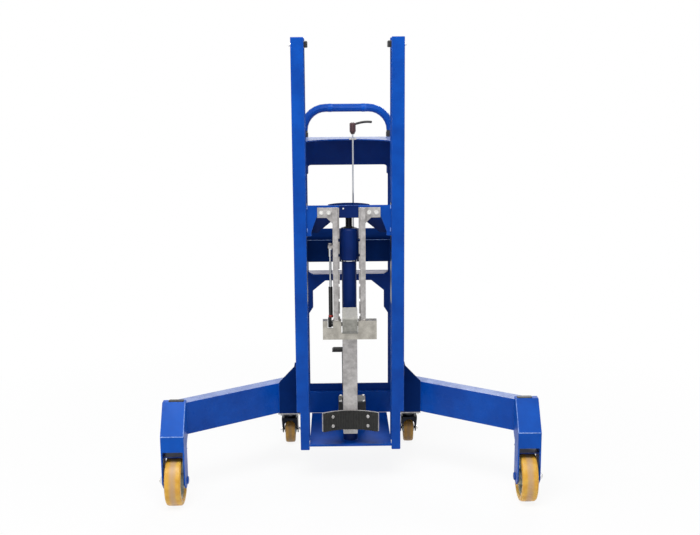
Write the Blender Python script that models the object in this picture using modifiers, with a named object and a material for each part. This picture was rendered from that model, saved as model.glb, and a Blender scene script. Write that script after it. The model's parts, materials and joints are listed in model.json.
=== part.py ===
"""Manual drum lifter: a mast on splayed legs with a foot-pumped ram and a beak gripper.

Metres, +Z up, the operator's side at +Y and the load at -Y. The origin is on the floor,
under the middle of the machine. Every sub-part is an object of its own.
"""
import bpy
import bmesh
from math import radians, sin, cos, pi
from mathutils import Matrix, Vector

# Fits between pieces that touch
GAP = 0.0003

# Mast posts, two steel channels that open towards each other
POST_DEPTH = 0.120
POST_WIDTH = 0.052
POST_WEB = 0.007
POST_FLANGE = 0.009
POST_TOP = 1.830
POST_FOOT = 0.140
MAST_HALF = 0.2235
MAST_FRONT = -0.150
MAST_REAR = MAST_FRONT + POST_DEPTH
MAST_INNER = MAST_HALF - POST_WIDTH
MAST_MIDDLE = MAST_FRONT + POST_DEPTH / 2
FOOT_NOTCH_WIDTH = 0.0145
FOOT_NOTCH_TOP = 0.305
STOP_HEIGHT = 0.025
STOP_DEPTH = 0.060
STOP_BOTTOM = 1.791
STOP_REACH = 0.0135

# Base: rear beam, floor plate, side plates with their wings
BEAM_HALF = 0.325
BEAM_DEPTH = 0.100
BEAM_HEIGHT = 0.100
BEAM_WALL = 0.005
BEAM_FRONT = 0.255
BEAM_BOTTOM = 0.165
BEAM_TOP = BEAM_BOTTOM + BEAM_HEIGHT
FLOOR_THICK = 0.010
FLOOR_TOP = 0.165
SIDE_THICK = 0.012
SIDE_INNER = MAST_HALF + GAP
SIDE_OUTER = SIDE_INNER + SIDE_THICK
SIDE_TOP = 0.473
SIDE_TOP_REAR = 0.020
SIDE_BROW = (0.120, 0.393)
WING_THICK = 0.008
WING_FRONT = -0.050
WING_REAR = WING_FRONT + WING_THICK
WING_HALF = 0.300
WING_TIP_TOP = 0.405
WING_FALL = (SIDE_TOP - WING_TIP_TOP) / (WING_HALF - SIDE_OUTER)

# Splayed legs
LEG_SPLAY = radians(35)
LEG_HEIGHT = 0.133
LEG_THICK = 0.060
LEG_WALL = 0.005
LEG_BOTTOM = 0.268
LEG_TOP = LEG_BOTTOM + LEG_HEIGHT

# Front wheel forks
FORK_WIDTH = 0.092
FORK_PLATE = 0.006
LEG_REACH = 0.401
FORK_X = WING_HALF + LEG_REACH
FORK_REAR = -0.300
FORK_FRONT = -0.412
FORK_TOP = 0.416
FORK_TOP_DEPTH = 0.030
FORK_FOLD = 0.3005
FORK_LIP = 0.2355
FORK_BOTTOM = 0.075
FORK_CHEEK_REAR = -0.332
FORK_NECK = 0.026
FORK_CHAMFER = 0.030

# Front wheels
WHEEL_R = 0.100
WHEEL_WIDTH = 0.064
TYRE_THICK = 0.020
TYRE_ROUND = 0.009
WHEEL_Y = -0.356
HUB_R = 0.030
HUB_WIDTH = 0.070
WEB_THICK = 0.016
RIM_THICK = 0.010
AXLE_R = 0.010
AXLE_HEAD_R = 0.016
AXLE_HEAD = 0.019
AXLE_INNER_HEAD = 0.006

# Rear castors
CASTOR_R = 0.0625
CASTOR_WIDTH = 0.044
CASTOR_TYRE = 0.014
CASTOR_ROUND = 0.007
CASTOR_X = 0.274
CASTOR_SWIVEL_Y = 0.296
CASTOR_TRAIL = 0.038
CASTOR_PLATE = (0.105, 0.085, 0.006)
CASTOR_TOP = BEAM_BOTTOM - GAP
RACE_R = 0.030
RACE_HEIGHT = 0.009
CROWN_HALF = 0.037
CROWN_THICK = 0.006
CROWN_BOTTOM = 0.132
CHEEK_THICK = 0.005
CHEEK_TOE = 0.018
CASTOR_HUB_R = 0.018
CASTOR_AXLE_R = 0.006
CASTOR_AXLE_HALF = 0.043
RACE_STEP = 0.002
CHEEK_LAP = 0.001
CHEEK_SHOULDER = 0.012
CHEEK_FRONT_DROP = 0.004
CHEEK_REAR_DROP = 0.010
FORK_SINK = 0.003
CASTOR_HUB_STAND = 0.010
CASTOR_WEB = 0.012
CASTOR_RIM = 0.007

# Rear frame, console deck and shelf
REAR_FRAME_FRONT = 0.270
REAR_FRAME_THICK = 0.006
REAR_FRAME_TOP = 1.414
RETURN_DEPTH = 0.050
WINDOW_HALF = 0.177
WINDOW_ROUND = 0.018
UPPER_WINDOW = (1.016, 1.298)
ARCH_BOTTOM = 0.300
ARCH_KNEE = 0.630
ARCH_WAIST = 0.658
ARCH_SHOULDER = 0.734
ARCH_TOP = 0.780
ARCH_WAIST_HALF = 0.159
ARCH_TOP_HALF = 0.103
FLANGE_DEPTH = 0.080
FLANGE_THICK = 0.006
FLANGE_TOP = 0.825
LOWER_WINDOW = (FLANGE_TOP + 0.001, 0.918)
FLANGE_CHAMFER = 0.022
DECK_THICK = 0.005
DECK_HOLLOW = 0.130
DECK_HOLLOW_Y = -0.010
SHELF_TOP = 1.012
SHELF_THICK = 0.005
SHELF_APRON = 0.092

# Push handle
HANDLE_R = 0.0175
HANDLE_HALF = 0.190
HANDLE_TOP = 1.545
HANDLE_BEND = 0.097
HANDLE_FOOT = 1.260

# Hydraulic ram, pump and its controls
RAM_Y = MAST_MIDDLE
RAM_R = 0.030
RAM_BORE = 0.0225
RAM_TOP = 0.942
RAM_FLOOR = 0.012
GLAND_R = 0.0385
GLAND_HEIGHT = 0.131
GLAND_TOP = RAM_TOP + GLAND_HEIGHT
GLAND_SHOULDER = 0.012
ROD_R = 0.0135
PISTON_TOP = 0.330
PISTON_HEIGHT = 0.030
PUMP_SIZE = (0.120, 0.100, 0.125)
PUMP_X = 0.010
PUMP_Y = 0.080
PUMP_ROUND = 0.006
PIPE_R = 0.006
PIPE_Z = 0.210
VALVE_R = 0.014
VALVE_HEIGHT = 0.040
RELEASE_X = 0.021
RELEASE_Y = 0.075
RELEASE_R = 0.0035
HUB_BOTTOM = 1.442
HUB_HEIGHT = 0.047
HUB_TOP = HUB_BOTTOM + HUB_HEIGHT
LEVER_HUB_R = 0.013
HUB_ROUND = 0.004
HUB_NECK = 0.006
HUB_NECK_HEIGHT = 0.012
LEVER_DROP = 0.008
LEVER_STEPS = 6
LEVER_REACH = 0.076
LEVER_RISE = 0.012
LEVER_CREST = 0.62
LEVER_R = 0.0045
GUIDE_WIDTH = 0.030
GUIDE_THICK = 0.003
GUIDE_REAR = 0.170
PEDAL_PIVOT = (0.118, 0.335)
PEDAL_KNEE = (0.400, 0.415)
PEDAL_REAR = 0.456
PEDAL_HEIGHT = 0.020
PEDAL_THICK = 0.010
PEDAL_X = -0.027
PEDAL_PAD = (0.100, 0.008)
PEDAL_PIN_R = 0.006
EAR_THICK = 0.010
EAR_R = 0.014

# Carriage between the posts
CARRIAGE_TOP = 1.170
REAR_PLATE_TOP = 1.158
CARRIAGE_PLATE = 0.008
CARRIAGE_RUN = 0.002
SIDE_BAR_THICK = 0.012
SIDE_BAR_PLAY = 0.0005
CARRIAGE_HALF = MAST_INNER + SIDE_BAR_THICK
CARRIAGE_BAND = 0.047
CARRIAGE_DROP = 0.124
FRONT_LEG = 0.0315
FRONT_LEG_BRACE = 0.022
FRONT_LEG_FOOT = 0.017
REAR_LEG = 0.0555
REAR_LEG_BRACE = 0.084
REAR_BAND = 0.044
SIDE_BAR_BOTTOM = 0.760
ROLLER_WIDTH = 0.026
ROLLER_Z = (1.115, 0.820)
STUB_R = 0.012
YOKE_HALF = 0.0395
YOKE_BOTTOM = 1.118
YOKE_PLATE_HALF = 0.084
YOKE_PLATE_THICK = 0.008
YOKE_SET = 0.0005
YOKE_BOW = 0.055

# Slotted rails that hang the gripper from the carriage
LUG_WIDTH = 0.084
LUG_HEIGHT = 0.041
LUG_TOP = 1.162
LUG_THICK = 0.006
LUG_INNER = 0.043
GUSSET_DROP = 0.026
GUSSET_REACH = 0.024
RAIL_OUTER = 0.066
RAIL_FACE = 0.020
RAIL_DEPTH = 0.018
RAIL_SET = 0.0008
RAIL_BOTTOM = 0.701
STRIP_WIDTH = 0.027
STRIP_THICK = 0.004
NOTCH_PITCH = 0.062
NOTCH_FIRST = 1.035
NOTCH_COUNT = 6
NOTCH_DEPTH = 0.005
NOTCH_HEIGHT = 0.012

# Gripper head, beak jaw and its spring strut
HEAD_HALF = 0.110
HEAD_HEIGHT = 0.078
HEAD_PLATE = 0.008
HEAD_FRONT = -0.172
HEAD_REAR = -0.132
HEAD_MOUTH_RISE = 0.028
HEAD_SLOT_OUTER = 0.013
HEAD_SLOT_INNER = 0.009
HEAD_SLOT_DEPTH = 0.030
EAR_RISE = 0.003
EAR_SETBACK = 0.001
BEAK_WIDTH = 0.061
BEAK_SLOT = 0.0035
BEAK_SETBACK = 0.022
BEAK_TOP_REAR = 0.757
BEAK_TOP_FRONT = 0.733
BEAK_FRONT = -0.262
BEAK_TIP = 0.668
BEAK_MOUTH = 0.708
BEAK_HOOK = 0.034
JAW_Y = -0.148
JAW_Z = 0.682
JAW_EYE_R = 0.015
SHAFT_R = 0.008
CHEEK_EAR = 0.006
SHAFT_PROUD = 0.006
SHAFT_PROUD_LEVER = 0.004
LEVER_THICK = 0.005
LEVER_X = -0.0705
LEVER_HALF = 0.009
LEVER_EYE_SPARE = 0.001
LEVER_TIP_SPARE = 0.002
SLOT_SPARE = 0.001
STRUT_X = -0.077
STRUT_ARM = 0.030
STRUT_R = 0.0085
STRUT_ROD_R = 0.005
STRUT_TOP = 0.995
STRUT_FITTING = 0.036
STRUT_CYL_TOP = 0.832
STRUT_CYL_BOTTOM = 0.704
STRUT_ROD_BOTTOM = 0.727
STRUT_FLOOR = 0.008
TONGUE_GAP = 0.0008
TONGUE_THICK = 0.006
TONGUE_HALF = 0.005
TONGUE_DROP = 0.007
TONGUE_SINK = 0.002
STRUT_PIN_SINK = 0.003
STRUT_PIN_PROUD = 0.001
STRUT_TAB = 0.008
STRUT_PIN_R = 0.004
STRUT_PIN_PLAY = 0.0012
SLOT_HALF_TRAVEL = 0.004

# Rest for the load below the gripper
SPINE_WIDTH = 0.060
SPINE_DEPTH = 0.020
SPINE_BOTTOM = 0.215
SPINE_TOP = 0.642
LOAD_Y = -0.380
PAD_R = 0.200
PAD_THICK = 0.008
SADDLE_SPAN = radians(33)
SADDLE_BOTTOM = 0.240
SADDLE_HEIGHT = 0.080

# Facets on round pieces
ROUND = 32
SMALL_ROUND = 20


def clear_scene():
    for obj in list(bpy.data.objects):
        bpy.data.objects.remove(obj, do_unlink=True)


def new_collection(name):
    group = bpy.data.collections.new(name)
    bpy.context.scene.collection.children.link(group)
    return group


clear_scene()
PARTS = new_collection("drum_lifter")
CUTTERS = new_collection("cutters")

# Finish of each sort of piece: colour, roughness, metallic
FINISHES = {
    "blue_paint": ((0.02, 0.09, 0.42), 0.38, 0.0),
    "zinc": ((0.62, 0.62, 0.60), 0.42, 0.9),
    "steel": ((0.45, 0.45, 0.46), 0.35, 1.0),
    "chrome": ((0.75, 0.75, 0.76), 0.12, 1.0),
    "black_steel": ((0.02, 0.02, 0.022), 0.45, 0.0),
    "black_plastic": ((0.025, 0.022, 0.022), 0.5, 0.0),
    "polyurethane": ((0.78, 0.50, 0.14), 0.45, 0.0),
    "cast_iron": ((0.42, 0.44, 0.42), 0.55, 0.4),
    "rubber": ((0.03, 0.03, 0.03), 0.8, 0.0),
}


def new_material(name, finish):
    colour, roughness, metallic = FINISHES[finish]
    material = bpy.data.materials.new(name + "_" + finish)
    material.use_nodes = True
    shader = material.node_tree.nodes["Principled BSDF"]
    shader.inputs["Base Color"].default_value = (*colour, 1.0)
    shader.inputs["Roughness"].default_value = roughness
    shader.inputs["Metallic"].default_value = metallic
    return material


def register(obj, finish):
    """Puts an object among the parts, with a material of its own."""
    for group in list(obj.users_collection):
        group.objects.unlink(obj)
    PARTS.objects.link(obj)
    obj.data.materials.clear()
    obj.data.materials.append(new_material(obj.name, finish))
    return obj


def as_cutter(obj):
    """Moves an object among the cutters, where it is a guide and not a part."""
    for group in list(obj.users_collection):
        group.objects.unlink(obj)
    CUTTERS.objects.link(obj)
    obj.display_type = "WIRE"
    obj.hide_render = True
    return obj


def boolean(obj, tool, operation):
    modifier = obj.modifiers.new(operation.lower(), "BOOLEAN")
    modifier.operation = operation
    modifier.solver = "EXACT"
    modifier.object = as_cutter(tool)
    return obj


def cut(obj, *tools):
    for tool in tools:
        boolean(obj, tool, "DIFFERENCE")
    return obj


def join(obj, *tools):
    for tool in tools:
        boolean(obj, tool, "UNION")
    return obj


def mesh_object(name, bm):
    mesh = bpy.data.meshes.new(name)
    bm.to_mesh(mesh)
    bm.free()
    obj = bpy.data.objects.new(name, mesh)
    bpy.context.scene.collection.objects.link(obj)
    return obj


def block(name, low, high, bevel=0.0):
    """A box between two corners, with rounded edges where a bevel is given."""
    bm = bmesh.new()
    bmesh.ops.create_cube(bm, size=1.0)
    size = Vector(high) - Vector(low)
    bmesh.ops.scale(bm, vec=size, verts=bm.verts)
    obj = mesh_object(name, bm)
    obj.location = (Vector(low) + Vector(high)) / 2
    if bevel:
        modifier = obj.modifiers.new("edges", "BEVEL")
        modifier.width = bevel
        modifier.segments = 2
    return obj


def rod(name, radius, start, end, sides=SMALL_ROUND):
    """A round bar between two points."""
    bm = bmesh.new()
    span = Vector(end) - Vector(start)
    bmesh.ops.create_cone(bm, cap_ends=True, segments=sides, radius1=radius,
                          radius2=radius, depth=span.length)
    obj = mesh_object(name, bm)
    obj.location = (Vector(start) + Vector(end)) / 2
    obj.rotation_euler = span.to_track_quat("Z", "Y").to_euler()
    obj.data.shade_smooth()
    obj.data.set_sharp_from_angle(angle=radians(35))
    return obj


# How an outline's own x and y lie in the object, by the axis that the plate faces
FACING = {
    "Z": Matrix(((1, 0, 0), (0, 1, 0), (0, 0, 1))),
    "Y": Matrix(((1, 0, 0), (0, 0, -1), (0, 1, 0))),
    "X": Matrix(((0, 0, 1), (1, 0, 0), (0, 1, 0))),
}


def plate(name, outlines, low, high, facing):
    """Flat outlines, the first with the others as its holes, drawn out from low to high."""
    curve = bpy.data.curves.new(name, "CURVE")
    curve.dimensions = "2D"
    curve.fill_mode = "BOTH"
    curve.extrude = (high - low) / 2
    for outline in outlines:
        spline = curve.splines.new("POLY")
        spline.points.add(len(outline) - 1)
        for point, (x, y) in zip(spline.points, outline):
            point.co = (x, y, 0.0, 1.0)
        spline.use_cyclic_u = True
    guide = bpy.data.objects.new(name + "_outline", curve)
    guide.matrix_world = FACING[facing].to_4x4()
    bpy.context.scene.collection.objects.link(guide)
    obj = meshed(name, guide)
    step = Vector((0, 0, 0))
    step["XYZ".index(facing)] = (low + high) / 2
    obj.location = step
    return obj


def meshed(name, curve_object):
    """The closed mesh of a curve object, which it replaces."""
    bpy.context.view_layer.update()
    graph = bpy.context.evaluated_depsgraph_get()
    mesh = bpy.data.meshes.new_from_object(curve_object.evaluated_get(graph))
    bm = bmesh.new()
    bm.from_mesh(mesh)
    bmesh.ops.remove_doubles(bm, verts=bm.verts, dist=0.00002)
    bm.transform(curve_object.matrix_world)
    bmesh.ops.recalc_face_normals(bm, faces=bm.faces)
    bpy.data.objects.remove(curve_object, do_unlink=True)
    bpy.data.meshes.remove(mesh)
    return mesh_object(name, bm)


def tube(name, points, radius, sides=4):
    """A round bar along a list of points."""
    curve = bpy.data.curves.new(name, "CURVE")
    curve.dimensions = "3D"
    curve.bevel_depth = radius
    curve.bevel_resolution = sides
    curve.use_fill_caps = True
    spline = curve.splines.new("POLY")
    spline.points.add(len(points) - 1)
    for point, co in zip(spline.points, points):
        point.co = (*co, 1.0)
    guide = bpy.data.objects.new(name + "_path", curve)
    bpy.context.scene.collection.objects.link(guide)
    obj = meshed(name, guide)
    obj.data.shade_smooth()
    obj.data.set_sharp_from_angle(angle=radians(50))
    return obj


def turned(name, profile, location, axis="Z", ring=False, steps=ROUND):
    """A profile of (radius, height) points, from the top down, turned about an axis."""
    bm = bmesh.new()
    verts = [bm.verts.new((radius, 0.0, height)) for radius, height in profile]
    for first, second in zip(verts, verts[1:]):
        bm.edges.new((first, second))
    if ring:
        bm.edges.new((verts[-1], verts[0]))
    obj = mesh_object(name, bm)
    screw = obj.modifiers.new("turn", "SCREW")
    screw.steps = steps
    screw.render_steps = steps
    screw.use_merge_vertices = True
    screw.merge_threshold = 0.00002
    screw.use_smooth_shade = False
    obj.location = location
    if axis == "X":
        obj.rotation_euler = (0.0, pi / 2, 0.0)
    return obj


def arc(centre, radius, start, end, steps):
    """Points on a circle, from one angle to another."""
    return [(centre[0] + radius * cos(start + (end - start) * i / steps),
             centre[1] + radius * sin(start + (end - start) * i / steps))
            for i in range(steps + 1)]


def rectangle(low, high):
    return [(low[0], low[1]), (high[0], low[1]), (high[0], high[1]), (low[0], high[1])]


def mirrored(outline, side):
    return [(x * side, y) for x, y in outline]


def rounded_window(half, bottom, top, radius):
    """A window whose two upper corners are rounded."""
    return ([(-half, bottom), (half, bottom)]
            + arc((half - radius, top - radius), radius, 0, pi / 2, 4)
            + arc((radius - half, top - radius), radius, pi / 2, pi, 4))


def pivot(name, location, parent=None):
    """An empty on a joint's axis, to which the moving pieces are parented."""
    empty = bpy.data.objects.new(name, None)
    PARTS.objects.link(empty)
    empty.location = location
    empty.parent = parent
    bpy.context.view_layer.update()
    return empty


def hang(obj, empty):
    """Parents an object to an empty and keeps its place."""
    bpy.context.view_layer.update()
    place = obj.matrix_world.copy()
    obj.parent = empty
    obj.matrix_parent_inverse = empty.matrix_world.inverted()
    obj.matrix_world = place
    return obj


def mast_post(name, side):
    inner = MAST_INNER
    lining = MAST_HALF - POST_WEB
    front, rear = MAST_FRONT, MAST_REAR
    channel = [(MAST_HALF, front), (MAST_HALF, rear), (inner, rear), (inner, rear - POST_FLANGE),
               (lining, rear - POST_FLANGE), (lining, front + POST_FLANGE),
               (inner, front + POST_FLANGE), (inner, front)]
    post = plate(name, [mirrored(channel, side)], POST_FOOT, POST_TOP, "Z")
    edge = MAST_HALF - FOOT_NOTCH_WIDTH
    past = 0.01
    ends = sorted((side * edge, side * (MAST_HALF + past)))
    notch = block(name + "_notch", (ends[0], front - past, POST_FOOT - past),
                  (ends[1], rear + past, FOOT_NOTCH_TOP))
    return register(cut(post, notch), "blue_paint")


def post_stop(name, side):
    ends = sorted((side * (MAST_INNER - STOP_REACH), side * (MAST_HALF - POST_WEB - GAP)))
    stop = block(name, (ends[0], MAST_MIDDLE - STOP_DEPTH / 2, STOP_BOTTOM),
                 (ends[1], MAST_MIDDLE + STOP_DEPTH / 2, STOP_BOTTOM + STOP_HEIGHT), bevel=0.003)
    return register(stop, "black_steel")


def base_beam():
    beam = block("base_beam", (-BEAM_HALF, BEAM_FRONT, BEAM_BOTTOM),
                 (BEAM_HALF, BEAM_FRONT + BEAM_DEPTH, BEAM_TOP))
    past = 0.01
    inside = block("base_beam_inside",
                   (-BEAM_HALF - past, BEAM_FRONT + BEAM_WALL, BEAM_BOTTOM + BEAM_WALL),
                   (BEAM_HALF + past, BEAM_FRONT + BEAM_DEPTH - BEAM_WALL, BEAM_TOP - BEAM_WALL))
    return register(cut(beam, inside), "blue_paint")


def base_floor():
    half = MAST_INNER - GAP
    floor = block("base_floor", (-half, MAST_FRONT, FLOOR_TOP - FLOOR_THICK),
                  (half, BEAM_FRONT - GAP, FLOOR_TOP))
    return register(floor, "blue_paint")


def base_side(name, side):
    """Side plate bent outwards in front, where its wing meets the root of the leg."""
    past = 0.02
    plan = [(SIDE_INNER, WING_FRONT), (WING_HALF, WING_FRONT), (WING_HALF, WING_REAR),
            (SIDE_OUTER, WING_REAR), (SIDE_OUTER, BEAM_FRONT - GAP), (SIDE_INNER, BEAM_FRONT - GAP)]
    sheet = plate(name, [mirrored(plan, side)], BEAM_BOTTOM, SIDE_TOP, "Z")
    ends = sorted((side * (SIDE_INNER - past), side * (WING_HALF + past)))
    under = [(WING_FRONT - past, LEG_BOTTOM), (WING_REAR, LEG_BOTTOM),
             (BEAM_FRONT, BEAM_BOTTOM + GAP), (BEAM_FRONT, BEAM_BOTTOM - past),
             (WING_FRONT - past, BEAM_BOTTOM - past)]
    over = [(SIDE_TOP_REAR, SIDE_TOP + past), (SIDE_TOP_REAR, SIDE_TOP), SIDE_BROW,
            (BEAM_FRONT, BEAM_TOP), (BEAM_FRONT + past, BEAM_TOP),
            (BEAM_FRONT + past, SIDE_TOP + past)]
    tip = [(SIDE_OUTER, SIDE_TOP), (WING_HALF + past, WING_TIP_TOP - past * WING_FALL),
           (WING_HALF + past, SIDE_TOP + past), (SIDE_OUTER, SIDE_TOP + past)]
    tools = [plate(name + "_under", [under], ends[0], ends[1], "X"),
             plate(name + "_over", [over], ends[0], ends[1], "X"),
             plate(name + "_tip", [mirrored(tip, side)], WING_FRONT - past, WING_REAR + past, "Y")]
    return register(cut(sheet, *tools), "blue_paint")


def leg_outline(inset):
    """The leg seen from above, its root cut along the side plate and the wing."""
    along = Vector((cos(LEG_SPLAY), -sin(LEG_SPLAY)))
    across = Vector((sin(LEG_SPLAY), cos(LEG_SPLAY)))
    corner = Vector((WING_HALF + GAP, WING_REAR + GAP))
    front = corner + across * inset
    back = corner + across * (LEG_THICK - inset)
    root = SIDE_OUTER + GAP
    tip = FORK_X + FORK_WIDTH / 2 - inset
    end = FORK_REAR + GAP + inset
    nose = front + along * ((front.y - end) / sin(LEG_SPLAY))
    heel = back + along * ((tip - back.x) / cos(LEG_SPLAY))
    tail = back - along * ((back.x - root) / cos(LEG_SPLAY))
    shoulder = front - along * ((WING_REAR + GAP + inset - front.y) / sin(LEG_SPLAY))
    return [(root, WING_REAR + GAP + inset), (shoulder.x, shoulder.y), (nose.x, nose.y),
            (tip, end), (tip, heel.y), (root, tail.y)]


def leg(name, side):
    tube_outer = plate(name, [mirrored(leg_outline(0.0), side)], LEG_BOTTOM, LEG_TOP, "Z")
    hollow = leg_outline(LEG_WALL)
    past = 0.01
    hollow[0] = (hollow[0][0] - past, hollow[0][1])
    hollow[-1] = (hollow[-1][0] - past, hollow[-1][1])
    inside = plate(name + "_inside", [mirrored(hollow, side)],
                   LEG_BOTTOM + LEG_WALL, LEG_TOP - LEG_WALL, "Z")
    return register(cut(tube_outer, inside), "blue_paint")


def fork(name, side):
    profile = [(FORK_REAR, FORK_TOP), (FORK_REAR - FORK_TOP_DEPTH, FORK_TOP),
               (FORK_FRONT, FORK_FOLD), (FORK_FRONT, FORK_BOTTOM + FORK_CHAMFER),
               (FORK_FRONT + FORK_CHAMFER, FORK_BOTTOM),
               (FORK_CHEEK_REAR - FORK_CHAMFER, FORK_BOTTOM),
               (FORK_CHEEK_REAR, FORK_BOTTOM + FORK_CHAMFER),
               (FORK_CHEEK_REAR, LEG_BOTTOM - FORK_NECK), (FORK_REAR, LEG_BOTTOM)]
    middle = side * FORK_X
    shell = plate(name, [profile], middle - FORK_WIDTH / 2, middle + FORK_WIDTH / 2, "X")
    half = FORK_WIDTH / 2 - FORK_PLATE
    past = 0.01
    pocket = block(name + "_pocket", (middle - half, FORK_FRONT - past, FORK_BOTTOM - past),
                   (middle + half, FORK_REAR + past, FORK_LIP))
    attic = block(name + "_attic", (middle - half, FORK_FRONT + FORK_PLATE, FORK_LIP - past),
                  (middle + half, FORK_REAR - FORK_PLATE, FORK_FOLD - FORK_PLATE))
    hole = rod(name + "_hole", AXLE_R + GAP, (middle - FORK_WIDTH, WHEEL_Y, WHEEL_R),
               (middle + FORK_WIDTH, WHEEL_Y, WHEEL_R))
    return register(cut(shell, pocket, attic, hole), "blue_paint")


def front_axle(name, side):
    seat = FORK_WIDTH / 2 + GAP
    outer, inner = seat + AXLE_HEAD, seat + AXLE_INNER_HEAD
    profile = [(0.0, outer), (AXLE_HEAD_R, outer), (AXLE_HEAD_R, seat), (AXLE_R, seat),
               (AXLE_R, -seat), (AXLE_HEAD_R, -seat), (AXLE_HEAD_R, -inner), (0.0, -inner)]
    if side < 0:
        profile = [(radius, -along) for radius, along in reversed(profile)]
    bolt = turned(name, profile, (side * FORK_X, WHEEL_Y, WHEEL_R), "X", steps=SMALL_ROUND)
    return register(bolt, "zinc")


def tyre(name, centre, radius, width, thickness, rounding, finish, steps=ROUND):
    half = width / 2
    inner = radius - thickness
    shoulder = radius - rounding
    edge = arc((shoulder, half - rounding), rounding, pi / 2, 0, 4)
    lower = [(r, -z) for r, z in reversed(edge)]
    profile = [(inner, half)] + edge + lower + [(inner, -half)]
    band = turned(name, profile, centre, "X", ring=True, steps=steps)
    band.modifiers["turn"].use_smooth_shade = True
    return register(band, finish)


def wheel_core(name, centre, outer, rim_width, hub_radius, hub_width, bore, web, rim, steps=ROUND):
    """A cast centre: hub, web and rim, bored for its axle."""
    hub, edge, disc = hub_width / 2, rim_width / 2, web / 2
    upper = [(bore, hub), (hub_radius, hub), (hub_radius, disc), (outer - rim, disc),
             (outer - rim, edge), (outer, edge)]
    lower = [(r, -z) for r, z in reversed(upper)]
    core = turned(name, upper + lower, centre, "X", ring=True, steps=steps)
    return register(core, "cast_iron")


def front_wheel(side_name, side):
    centre = (side * FORK_X, WHEEL_Y, WHEEL_R)
    axis = pivot("front_wheel_axis_" + side_name, centre)
    band = tyre("front_tyre_" + side_name, centre, WHEEL_R, WHEEL_WIDTH, TYRE_THICK, TYRE_ROUND,
                "polyurethane")
    core = wheel_core("front_wheel_core_" + side_name, centre, WHEEL_R - TYRE_THICK - GAP,
                      WHEEL_WIDTH - 2 * TYRE_ROUND, HUB_R, HUB_WIDTH, AXLE_R + GAP, WEB_THICK,
                      RIM_THICK)
    for piece in (band, core):
        hang(piece, axis)


def castor_plate(name, side):
    width, depth, thick = CASTOR_PLATE
    x, y = side * CASTOR_X, CASTOR_SWIVEL_Y
    top_plate = block(name, (x - width / 2, y - depth / 2, CASTOR_TOP - thick),
                      (x + width / 2, y + depth / 2, CASTOR_TOP))
    race = rod(name + "_race", RACE_R, (x, y, CASTOR_TOP - thick - RACE_HEIGHT),
               (x, y, CASTOR_TOP - thick / 2))
    return register(join(top_plate, race), "zinc")


def castor_fork(name, side):
    """Crown, race, two cheeks and the axle bolt that they carry."""
    x, y = side * CASTOR_X, CASTOR_SWIVEL_Y
    axle_y = y + CASTOR_TRAIL
    crown_top = CROWN_BOTTOM + CROWN_THICK
    reach = CROWN_HALF - CHEEK_THICK / 2
    crown = block(name, (x - reach, y - reach, CROWN_BOTTOM), (x + reach, y + reach, crown_top))
    race_top = CASTOR_TOP - CASTOR_PLATE[2] - RACE_HEIGHT - GAP
    race = rod(name + "_race", RACE_R - RACE_STEP, (x, y, crown_top - FORK_SINK), (x, y, race_top))
    brow = crown_top + CHEEK_LAP
    outline = ([(y - CROWN_HALF, brow), (y - CROWN_HALF, CROWN_BOTTOM - CHEEK_FRONT_DROP)]
               + arc((axle_y, CASTOR_R), CHEEK_TOE, pi, 2 * pi, 6)
               + [(y + CROWN_HALF + CHEEK_SHOULDER, CROWN_BOTTOM - CHEEK_REAR_DROP),
                  (y + CROWN_HALF, brow)])
    cheeks = []
    for number, end in enumerate((-1, 1)):
        ends = sorted((x + end * CROWN_HALF, x + end * (CROWN_HALF - CHEEK_THICK)))
        cheeks.append(plate(name + "_cheek_" + str(number), [outline], ends[0], ends[1], "X"))
    bolt = rod(name + "_bolt", CASTOR_AXLE_R, (x - CASTOR_AXLE_HALF, axle_y, CASTOR_R),
               (x + CASTOR_AXLE_HALF, axle_y, CASTOR_R))
    return register(join(crown, race, *cheeks, bolt), "black_steel")


def castor(side_name, side):
    x = side * CASTOR_X
    castor_plate("castor_plate_" + side_name, side)
    swivel = pivot("castor_swivel_" + side_name, (x, CASTOR_SWIVEL_Y, CASTOR_TOP))
    hang(castor_fork("castor_fork_" + side_name, side), swivel)
    centre = (x, CASTOR_SWIVEL_Y + CASTOR_TRAIL, CASTOR_R)
    axis = pivot("castor_wheel_axis_" + side_name, centre)
    hang(axis, swivel)
    band = tyre("castor_tyre_" + side_name, centre, CASTOR_R, CASTOR_WIDTH, CASTOR_TYRE,
                CASTOR_ROUND, "polyurethane", steps=24)
    core = wheel_core("castor_wheel_core_" + side_name, centre, CASTOR_R - CASTOR_TYRE - GAP,
                      CASTOR_WIDTH - 2 * CASTOR_ROUND, CASTOR_HUB_R,
                      CASTOR_WIDTH + CASTOR_HUB_STAND, CASTOR_AXLE_R + GAP, CASTOR_WEB,
                      CASTOR_RIM, steps=24)
    for piece in (band, core):
        hang(piece, axis)


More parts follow.
